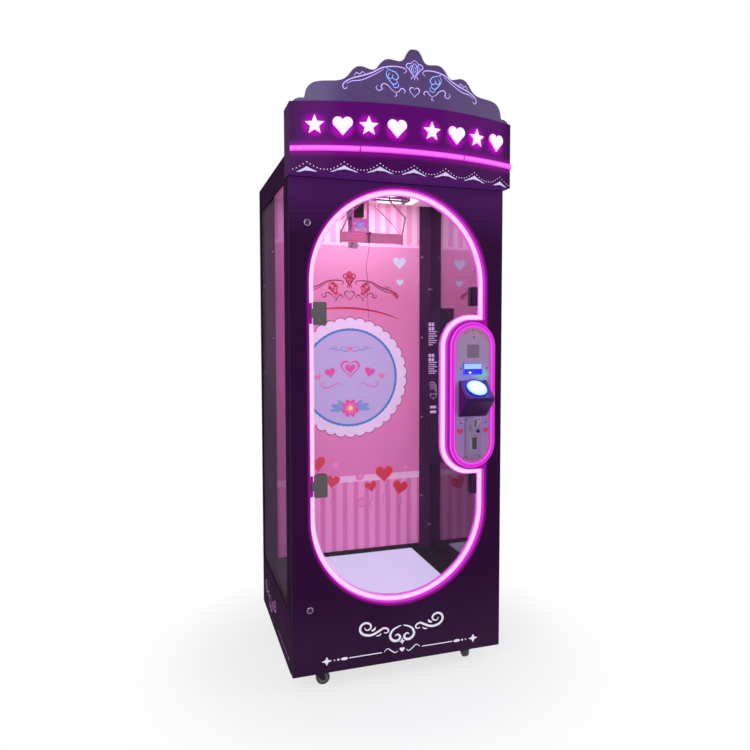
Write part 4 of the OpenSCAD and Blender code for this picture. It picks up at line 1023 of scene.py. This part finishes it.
FLOURISH = [
    ([(143, 222), (139, 214), (130, 211), (121, 217), (119, 226), (127, 235), (141, 238),
      (155, 231), (160, 216), (154, 203), (142, 195), (125, 191), (108, 193), (94, 199),
      (82, 205), (71, 210), (59, 207), (53, 200), (55, 193), (64, 191), (70, 194)], 8.5),
    ([(118, 207), (111, 208), (106, 211), (102, 218)], 8.0),
    ([(99, 185), (91, 185), (84, 188), (80, 193)], 5.0),
    ([(4, 211), (20, 206), (35, 198), (44, 186), (46, 173), (39, 162), (28, 156), (16, 157),
      (8, 166), (11, 175), (20, 179), (27, 174)], 9.5),
]


def door_art():
    art = Print(front_face(FRONT))
    mid, line_z = 4, 120
    for knots, width in FLOURISH:
        art.both(mid, knots, width)
    art.star(mid, 151, 12, waist=0.42)
    for half, tip in ((-1, -278), (1, 289)):
        art.star(tip, line_z, 16, squash=1.2, waist=0.42)
        for out, radius, squash in ((254, 2.6, 1.0), (240, 4.0, 1.0), (218, 13.0, 0.42)):
            art.disc(half * out + mid, line_z, radius, squash=squash)
        art.box(half * 200 + mid, line_z - 1.8, half * 78 + mid, line_z + 1.8)
    art.both(mid, [(70, 120), (56, 131), (40, 120), (26, 112), (16, 119)], 4.0)
    art.heart(mid, 119, 20)
    piece("door_base_print", art.bm, "front_door", "white_ink")


def side_art():
    mid = 212
    for name, face in (("side_base_print", left_face), ("side_base_print_right", right_face)):
        art = Print(face)
        for knots, _ in FLOURISH:
            art.both(mid, [(a * 0.9, 120 + (b - 152) * 0.95) for a, b in knots], 6.5)
        art.star(mid, 118, 11, squash=0.9)
        art.box(-196, 112, -78, 115)
        art.box(-70, 112, 20, 115)
        art.star(-222, 113, 12, squash=1.15, waist=0.3)
        art.disc(-205, 113, 3.0)
        art.disc(-74, 113, 5.0, squash=0.6)
        piece(name, art.bm, "cabinet", "purple_ink")


def back_screws():
    """Screws on washers all round the back panel."""
    low, high = box_of("back_panel")
    inset, back = 14, (0, 1, 0)
    spots = [(x, z) for x in (low.x + inset, high.x - inset) for z in range(150, 1880, 190)]
    spots += [(x, z) for z in (low.z + inset, high.z - inset) for x in range(-270, 271, 135)]
    bm = bmesh.new()
    for x, z in spots:
        turned(bm, [(5.2, -0.2), (5.2, 0.25), (4.6, 0.3)], (x, high.y, z), back, 20)
        screw(bm, (x, high.y + 0.3, z), back, 3.4, 1.3)
    piece("back_panel_screws", bm, "cabinet", "zinc_plate black_moulding")


# The printed board at the back

BOARD_INKS = ("medallion_white wine_ink blue_ink medallion_lavender leaf_blue petal_pink flower_eye"
              " red_ink rose_ink pale_pink_ink pale_heart blush_ink crimson_ink")
WHITE, WINE, BLUE, DISC, LEAF, PETAL, EYE, RED, ROSE, PALE, SOFT, BLUSH, CRIMSON = range(13)


def medallion(art):
    """The scalloped disc with its hearts and lines, as rings that each lie on the last."""
    mid = 1071.0
    for radius, skin, lift, lobes, wave in ((278.4, WINE, 0.10, 34, 13.0),
                                            (274.6, WHITE, 0.20, 34, 13.0),
                                            (226.0, BLUE, 0.30, 60, 2.0)):
        art.disc(0, mid, radius, skin, lift, lobes=lobes, wave=wave)
    art.disc(0, mid, 215.0, DISC, 0.40, sides=120)
    for knots, width, skin in (
            ([(14, 1203), (30, 1212), (46, 1200), (62, 1196), (78, 1206), (92, 1203), (104, 1210)],
             3.4, BLUE),
            ([(8, 1196), (22, 1190), (34, 1196), (44, 1190)], 3.6, BLUE),
            ([(60, 1204), (72, 1214), (84, 1208)], 2.6, BLUE),
            ([(34, 1036), (60, 1046), (86, 1034), (112, 1026), (134, 1038), (126, 1050),
              (116, 1043)], 4.0, PETAL)):
        art.both(0, knots, width, skin, 0.5)
    for v, size, skin, lift in ((1202, 26, ROSE, 0.55), (1108, 92, PETAL, 0.50),
                                (1108, 74, DISC, 0.55), (1109, 50, PETAL, 0.60)):
        art.heart(0, v, size, skin, lift)
    for half in (1, -1):
        art.heart(half * 92, 1092, 50, PETAL, 0.50, -half * 14)
        art.heart(half * 150, 1074, 30, ROSE, 0.50, -half * 22)


def flower(art):
    """The flower in the medallion, with three leaves on each side."""
    mid, lift = 930, 0.45
    for half in (1, -1):
        for u, v, width in ((92, 946, 26), (98, 922, 22), (58, 968, 22)):
            root = Vector((half * 22, mid, 0))
            along = Vector((half * u, v, 0)) - root
            across = Vector((-along.y, along.x, 0)).normalized() * width / 2
            edge = [root, root + along * 0.35 + across, root + along * 0.7 + across * 0.8,
                    root + along, root + along * 0.7 - across * 0.8, root + along * 0.35 - across]
            lift += 0.03
            art.shape([p.xy for p in smooth_line(edge, 4, True)], LEAF, lift)
            art.line([(root + along * t).xy for t in (0.0, 0.5, 0.92)], 2.0, BLUE, lift + 0.015)
    art.disc(0, mid, 42.0, PETAL, 0.70, lobes=8, wave=14.0)
    art.disc(0, mid, 26.0, ROSE, 0.75, lobes=8, wave=8.0)
    art.disc(0, mid, 11.0, EYE, 0.80)


def board_crown(art):
    """The ornament above the medallion, with small blossoms on its scrolls and its bud."""
    mid, foot, size = -2, 1440, 0.92
    ornament(art, mid, foot, size, (WINE, CRIMSON), 2.1, 0.3, rise=1.3, heart=50.0)
    for half in (1, -1):
        for u, v, r in ((84, 64, 9), (72, 52, 8), (98, 40, 9), (84, 28, 8), (68, 18, 7),
                        (224, 24, 7), (236, 15, 9), (247, 6, 7)):
            art.disc(mid + half * u * size, foot + v * size, r, CRIMSON if r > 7 else RED,
                     0.72 + u * 0.001, lobes=3, wave=r * 0.4)
    for k, (u, v, r) in enumerate(((0, 118, 7), (-10, 108, 6), (10, 108, 6), (0, 98, 9),
                                   (-15, 90, 7), (15, 90, 7), (0, 80, 8), (0, 64, 6), (0, 52, 5))):
        art.disc(mid + u * size, foot + v * size, r, CRIMSON if k % 2 else RED, 0.98 + k * 0.02,
                 lobes=4, wave=r * 0.35)
    art.line([(-160, 1380), (-99, 1386), (-20, 1389), (60, 1384), (150, 1368), (235, 1341)], 9.5,
             CRIMSON, 0.3, tip=0.1)


def board_art():
    art = Print(front_face(BOARD))
    medallion(art)
    flower(art)
    board_crown(art)
    for u, v, size, tilt in ((163, 612, 84, 0), (99, 556, 56, 12), (241, 540, 74, -14),
                             (-155, 676, 76, 8), (-86, 592, 64, -10)):
        art.heart(u, v, size * 1.14, ROSE, 0.3, tilt)
        art.heart(u, v, size, RED, 0.4, tilt)
        art.line([(u, v - size * 0.42), (u + 8, v - size * 0.9), (u - 8, v - size * 1.4),
                  (u + 4, v - size * 1.9)], 1.6, WINE, 0.35)
    for u, v, r in ((-70, 670, 24), (54, 486, 24), (45, 610, 20), (268, 640, 14)):
        art.disc(u, v, r, PALE, 0.25, sides=28)
        art.disc(u, v, r * 0.62, BLUSH, 0.28)
    art.heart(239, 1597, 62, SOFT)
    art.heart(241, 1508, 36, SOFT)
    piece("board_print_shapes", art.bm, "cabinet", BOARD_INKS)


# The control plate

def control_art():
    """Its print: garlands in both round ends, hearts by the coin plate, and a plain square of
    dots. Its screws."""
    art = Print(front_face(PLATE))
    salmon, ruby, dark = range(3)
    mid, mirror_z = 280, TONGUE_LOW + TONGUE_HIGH
    for up, crown in ((1, TONGUE_HIGH), (-1, TONGUE_LOW)):
        art.disc(mid, crown + up * 62, 5.0, ruby, lobes=5, wave=1.6)
        art.disc(mid, crown + up * 50, 2.6, ruby, sides=12)
        edge = [(65 * math.sin(a), 65 * math.cos(a))
                for a in (math.radians(14 + 9 * k) for k in range(8))]
        for knots, width, skin, lift in (
                (edge, 2.0, salmon, 0.24),
                ([(8, 58), (15, 62), (23, 55), (30, 50), (37, 51), (34, 45)], 3.2, ruby, 0.36),
                ([(10, 53), (20, 48), (30, 44)], 2.4, salmon, 0.32)):
            art.both(mid, [(a, crown + up * b) for a, b in knots], width, skin, lift)
    for v in range(912, 833, -13):
        u = 66 - max(0, 866 - v) * 0.35
        art.both(mid, [(u, v + 7), (u - 4, v + 2), (u, v - 3), (u + 1, v - 7)], 2.0, salmon, 0.28)
        top = mirror_z - v
        art.both(mid, [(u, top - 7), (u - 4, top - 2), (u, top + 3)], 1.8, salmon, 0.28)
    art.heart(229, 913, 25, ruby, 0.4)
    art.heart(334, 914, 24, ruby, 0.4)
    left, foot, count, size = 256.5, 1188.0, 15, 49.0 / 15
    middle = count // 2
    for i in range(count):
        for j in range(count):
            if (abs(i - middle) + abs(j - middle)) % 3:
                u, v = left + i * size, foot + j * size
                art.box(u, v, u + size * 0.94, v + size * 0.94, dark)
    piece("control_print", art.bm, "front_door", "salmon_ink ruby_ink grey_ink")
    front_screws("control_plate_screws", "front_door", "dark_screw", [
        (PLATE, 3.2, 1.2, ((284, 1264), (231, 1149), (336, 1149), (232, 946), (334, 945),
                           (283, 833)))])


# The big button, the coin plate, the locks and the glass door's fittings

def push_button():
    """The lens with its rounded rim and the stem that guides it, its bezel and its box."""
    reach = max((v.co * 1000 - BUTTON_MID).dot(BUTTON_OUT)
                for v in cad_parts["start_button"].data.vertices)
    radius, rim = 38.8, 6.0
    rise = min(reach, 12.0) - rim
    dome = [(radius, -2.0), (radius, rise)]
    dome += [(radius * math.cos(a), rise + rim * math.sin(a))
             for a in (math.radians(8 * k) for k in range(1, 12))]
    bm = bmesh.new()
    turned(bm, dome, BUTTON_MID, BUTTON_OUT, 64)
    turned(bm, [(15.0, -26.0), (15.0, -1.0)], BUTTON_MID, BUTTON_OUT, 32)
    piece("button_lens_cap", bm, "start_button", "button_lens", "start_button")
    bm = softened("button_bezel", 0.9)
    layer = bm.verts.layers.float.new("across")
    inner, width = 38.0, 6.0
    for v in bm.verts:
        flat = v.co - BUTTON_MID
        flat -= BUTTON_OUT * flat.dot(BUTTON_OUT)
        v[layer] = min(max((flat.length - inner) / width, 0.0), 1.0)
    piece("button_bezel_ring", bm, "front_door", "bezel_ring", "button_bezel")
    piece("button_box_shell", softened("button_box", 2.2, 3), "front_door",
          "button_box_moulding", "button_box")


def coin_fittings():
    """The coin plate with its screws and its printed marks."""
    piece("coin_front_plate", softened("coin_plate", 0.8), "front_door",
          "coin_plate_steel", "coin_plate")
    front_screws("coin_plate_screws", "front_door", "dark_screw", [
        (COIN, 2.6, 1.0, ((256, 957), (306, 957), (256, 819), (306, 819)))])
    art = Print(front_face(COIN))
    art.shape([(288.2, 901), (293.8, 901), (291, 894)])
    for v in (930, 924, 918):
        art.box(264, v, 274, v + 2.6)
    piece("coin_plate_marks", art.bm, "front_door", "grey_ink")


def door_locks():
    """Each lock's rounded rim, its face and its key slot."""
    for name, z in (("cam_lock_high", 1654.0), ("cam_lock_low", 313.0)):
        bm = softened(name, 0.7)
        mid = Vector((LOCK_X, FRONT, z))
        rim = [(11.6, 3.2), (11.6, 4.0), (10.6, 4.6), (8.4, 4.6), (8.0, 4.1)]
        turned(bm, rim, mid, FORWARD, 40)
        turned(bm, [(7.6, 3.2), (7.6, 4.3), (7.0, 4.6)], mid, FORWARD, 32)
        slab(bm, mid + Vector((-1.2, -4.75, -4.6)), mid + Vector((1.2, -4.5, 4.6)), 1)
        for f in bm.faces:
            out = f.calc_center_median() - mid
            if f.material_index == 0 and math.hypot(out.x, out.z) < 8.2:
                f.material_index = 2
        piece(name + "_ring", bm, name, "lock_rim black_moulding lock_face", name)


def glass_fittings():
    """The glass door's clamps and keepers, and the front door's catches."""
    piece("glass_clamp_plates", softened("glass_clamps", 1.2, corner=5.0), "glass_door",
          "clamp_grey", "glass_clamps")
    piece("glass_keeper_pads", softened("glass_keepers", 1.0), "glass_door",
          "plum_black_moulding", "glass_keepers")
    piece("door_catch_blocks", softened("door_catches", 1.2), "front_door",
          "black_moulding", "door_catches")


def door_seal():
    """The seal over the door, under the roof's apron."""
    door_top = box_of("front_panel")[1].z
    apron = box_of("roof")[0].z
    bm = bmesh.new()
    slab(bm, (-397.5, FRONT + 1.7, door_top + 0.4), (397.5, FRONT + 4.6, apron + 6.0), soften=0.4)
    piece("door_top_seal", bm, "cabinet", "cabinet_paint")


# Prints and screws inside the cabinet

def sign_art():
    """A screen with a star, a plate with a wavy line, and a heart."""
    low, high = box_of("sign_board")
    mid, foot = (low.x + high.x) / 2, low.z
    blue, white, pink = range(3)
    art = Print(front_face(low.y))
    art.box(mid - 24, foot + 6, mid + 24, foot + 18, white, 0.2)
    art.box(mid - 14, foot + 23, mid + 16, foot + 40, blue, 0.2)
    art.star(mid + 1, foot + 31.5, 7.0, points=5, waist=0.45, skin=white)
    art.line([(mid + u, foot + v) for u, v in ((-20, 12), (-8, 14), (6, 10), (20, 12))], 2.6, pink)
    art.heart(mid - 23, foot + 33, 11, white, 0.25)
    piece("sign_board_print", art.bm, "carriage", "blue_line white_ink petal_pink")


def pillar_screws():
    def pairs(x, heights):
        return [(half * x, z) for half in (1, -1) for z in heights]

    front_screws("inside_screws", "cabinet", "brushed_steel", [
        (POST, 3.6, 1.2, pairs(349.0, (1630, 1253, 876, 499))),
        (POST, 3.6, 1.2, pairs(386.0, (1481, 1105, 729, 353))),
        (BOARD, 3.4, 1.2, pairs(331.0, (1700, 1400, 1100, 800, 500, 290)))])


def notice_art():
    """The instruction board's print: rows of plain blocks, three bent lines and a heart."""
    low, high = box_of("instruction_board")
    mid = (low.x + high.x) / 2
    art = Print(front_face(low.y))
    row_lengths = (44, 38, 46, 30, 42, 36, 24)
    for top, tall, rows in ((1322, 15, 2), (1284, 5, 7), (1180, 14, 2), (1144, 5, 6)):
        step = 7.0 if tall < 10 else 15.0
        for k in range(rows):
            v = top - k * (tall + 5.0)
            for i in range(int(row_lengths[k] // step)):
                left = mid - 24 + i * step
                art.box(left, v - tall, left + 0.8 * step, v)
    for k in range(3):
        art.line([(mid - 22 + 3 * k, 1040 - 13 * k), (mid - 6, 1052 - 13 * k),
                  (mid + 10, 1040 - 13 * k), (mid + 18, 1026 - 13 * k)], 3.0)
    art.heart_line(mid, 985, 30, 2.6)
    for v in (930, 908):
        art.box(mid - 16, v, mid + 14, v + 12)
    piece("notice_print", art.bm, "cabinet", "notice_ink")


def caster_wheels():
    """Wheels with a rounded tread and a hollowed core. The left one stands turned aside."""
    tread = [(17.0, -10.0), (22.6, -10.0), (24.2, -9.2), (25.0, -7.0)]
    core = [(4.6, -9.4), (7.5, -9.8), (8.0, -8.0), (14.5, -6.6), (16.2, -9.2), (17.2, -9.6)]
    for name, axis in (("caster_wheel_left", (0, 1, 0)), ("caster_wheel_right", (1, 0, 0)),
                       ("caster_wheel_rear_left", (1, 0, 0)),
                       ("caster_wheel_rear_right", (1, 0, 0))):
        low, high = box_of(name)
        bm = bmesh.new()
        for skin, (half, sides) in enumerate(((tread, 56), (core, 48))):
            whole = half + [(radius, -out) for radius, out in half[::-1]]
            turned(bm, whole, (low + high) / 2, axis, sides, skin, cap=False)
        piece(name + "_tyre", bm, name, "wheel_tread wheel_core", name)


for build in (door_tubes, header_tube, header_symbols, crest_lines, fascia_trim, door_art, side_art,
              back_screws, board_art, control_art, push_button, coin_fittings, door_locks,
              glass_fittings, door_seal, sign_art, pillar_screws, notice_art, caster_wheels):
    build()


# Finishes of the solids that show as they are

LOOKS = {
    "door_paint": "front_panel",
    "cabinet_paint": "roof",
    "side_paint": "side_panels",
    "header_paint": "header_box",
    "black_coat": "base_pan back_panel skirting control_housing caster_fork_left caster_fork_right",
    "pillar_paint": "corner_posts",
    "grey_coat": "rail_frame carriage",
    "brushed_steel": "motor_pulley idler_pulley cutter_slide blade_left blade_right",
    "zinc_plate": "hinge_brackets caster_plates",
    "clip_plum": "string_clip",
    "black_moulding": "belt_motor levelling_feet power_inlet coin_acceptor return_flap"
                      " cutter_gearbox",
    "plum_black_moulding": "instruction_board",
    "toothed_belt": "drive_belt",
    "pale_pink_bar": "hanging_bar",
    "sign_sheet": "sign_board",
    "ceiling_sheet": "ceiling",
    "board_print": "backing_board",
    "lit_floor_sheet": "floor_panel",
    "ceiling_lamp_sheet": "ceiling_lights",
    "crest_smoke": "crest_board",
    "side_glass": "side_glass",
    "door_glass": "glass_pane",
    "control_film": "control_plate",
    "display_screen": "display",
    "bezel_ring": "reject_button",
    "rocker_red": "power_rocker",
}
for skin, nodes in LOOKS.items():
    for node in nodes.split():
        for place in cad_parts[node].material_slots:
            place.material = SKINS[skin]
string.data.materials.append(SKINS["cord_plum"])


# Floor, background and lamps

def lay_floor():
    """A pale round floor that keeps the shadow and fades out at its rim."""
    bm = bmesh.new()
    bmesh.ops.create_circle(bm, cap_ends=True, radius=2600.0, segments=96)
    s = Skin("pale_floor")
    mottle = s.noise(3.0, 3.0)
    chalk = s.mix(mottle, (240, 239, 242), (246, 245, 248))
    matt = s.gloss(chalk, rough=mottle * 0.1 + 0.85, Specular_IOR_Level=0.1)
    pale = s.cover(s.seen() * 0.72, matt, s.node("ShaderNodeEmission", {}, {"Color": (1.0,) * 4}))
    reach = s.vector("LENGTH", s.place, out="Value")
    s.done(s.cover(s.smooth(reach, 0.50, 1.05), pale, s.clear()))
    ground = add_mesh("studio_floor", bm)
    ground.data.materials.append(SKINS["pale_floor"])


def light_world():
    """A soft sky for the light, and plain white where it is seen."""
    world = bpy.data.worlds.new("studio_sky")
    bpy.context.scene.world = world
    sky = Graph(world, "ShaderNodeOutputWorld")
    soft = sky.node("ShaderNodeBackground", {}, {"Color": (0.94, 0.93, 1.0, 1.0), "Strength": 0.55})
    white = sky.node("ShaderNodeBackground", {}, {"Color": (1.0,) * 4})
    sky.done(sky.cover(sky.seen(), soft, white))


def lamp(name, place, aim, size, power, shade=(1.0, 1.0, 1.0)):
    light = bpy.data.lights.new(name, "AREA")
    light.shape = "RECTANGLE"
    light.size, light.size_y = size
    light.energy = power
    light.color = shade
    holder = bpy.data.objects.new(name, light)
    holder.location = place
    holder.rotation_euler = (Vector(aim) - Vector(place)).to_track_quat("-Z", "Y").to_euler()
    holder.visible_camera = False
    bpy.context.scene.collection.objects.link(holder)


lay_floor()
light_world()
lamp("key_lamp", (-2.6, -3.6, 3.2), (0.0, 0.0, 1.0), (2.6, 2.6), 90.0)
lamp("fill_lamp", (3.2, -2.6, 2.2), (0.0, 0.0, 1.0), (2.4, 2.4), 40.0)
lamp("ceiling_wash", (0.0, 0.20, 1.855), (0.0, 0.20, 0.0), (0.5, 0.2), 1.8, (1.0, 0.90, 0.97))
lamp("inner_wash", (0.0, -0.20, 0.96), (0.0, 0.41, 0.90), (0.56, 1.3), 3.4, (1.0, 0.95, 0.98))
bpy.context.scene.view_settings.view_transform = "Standard"
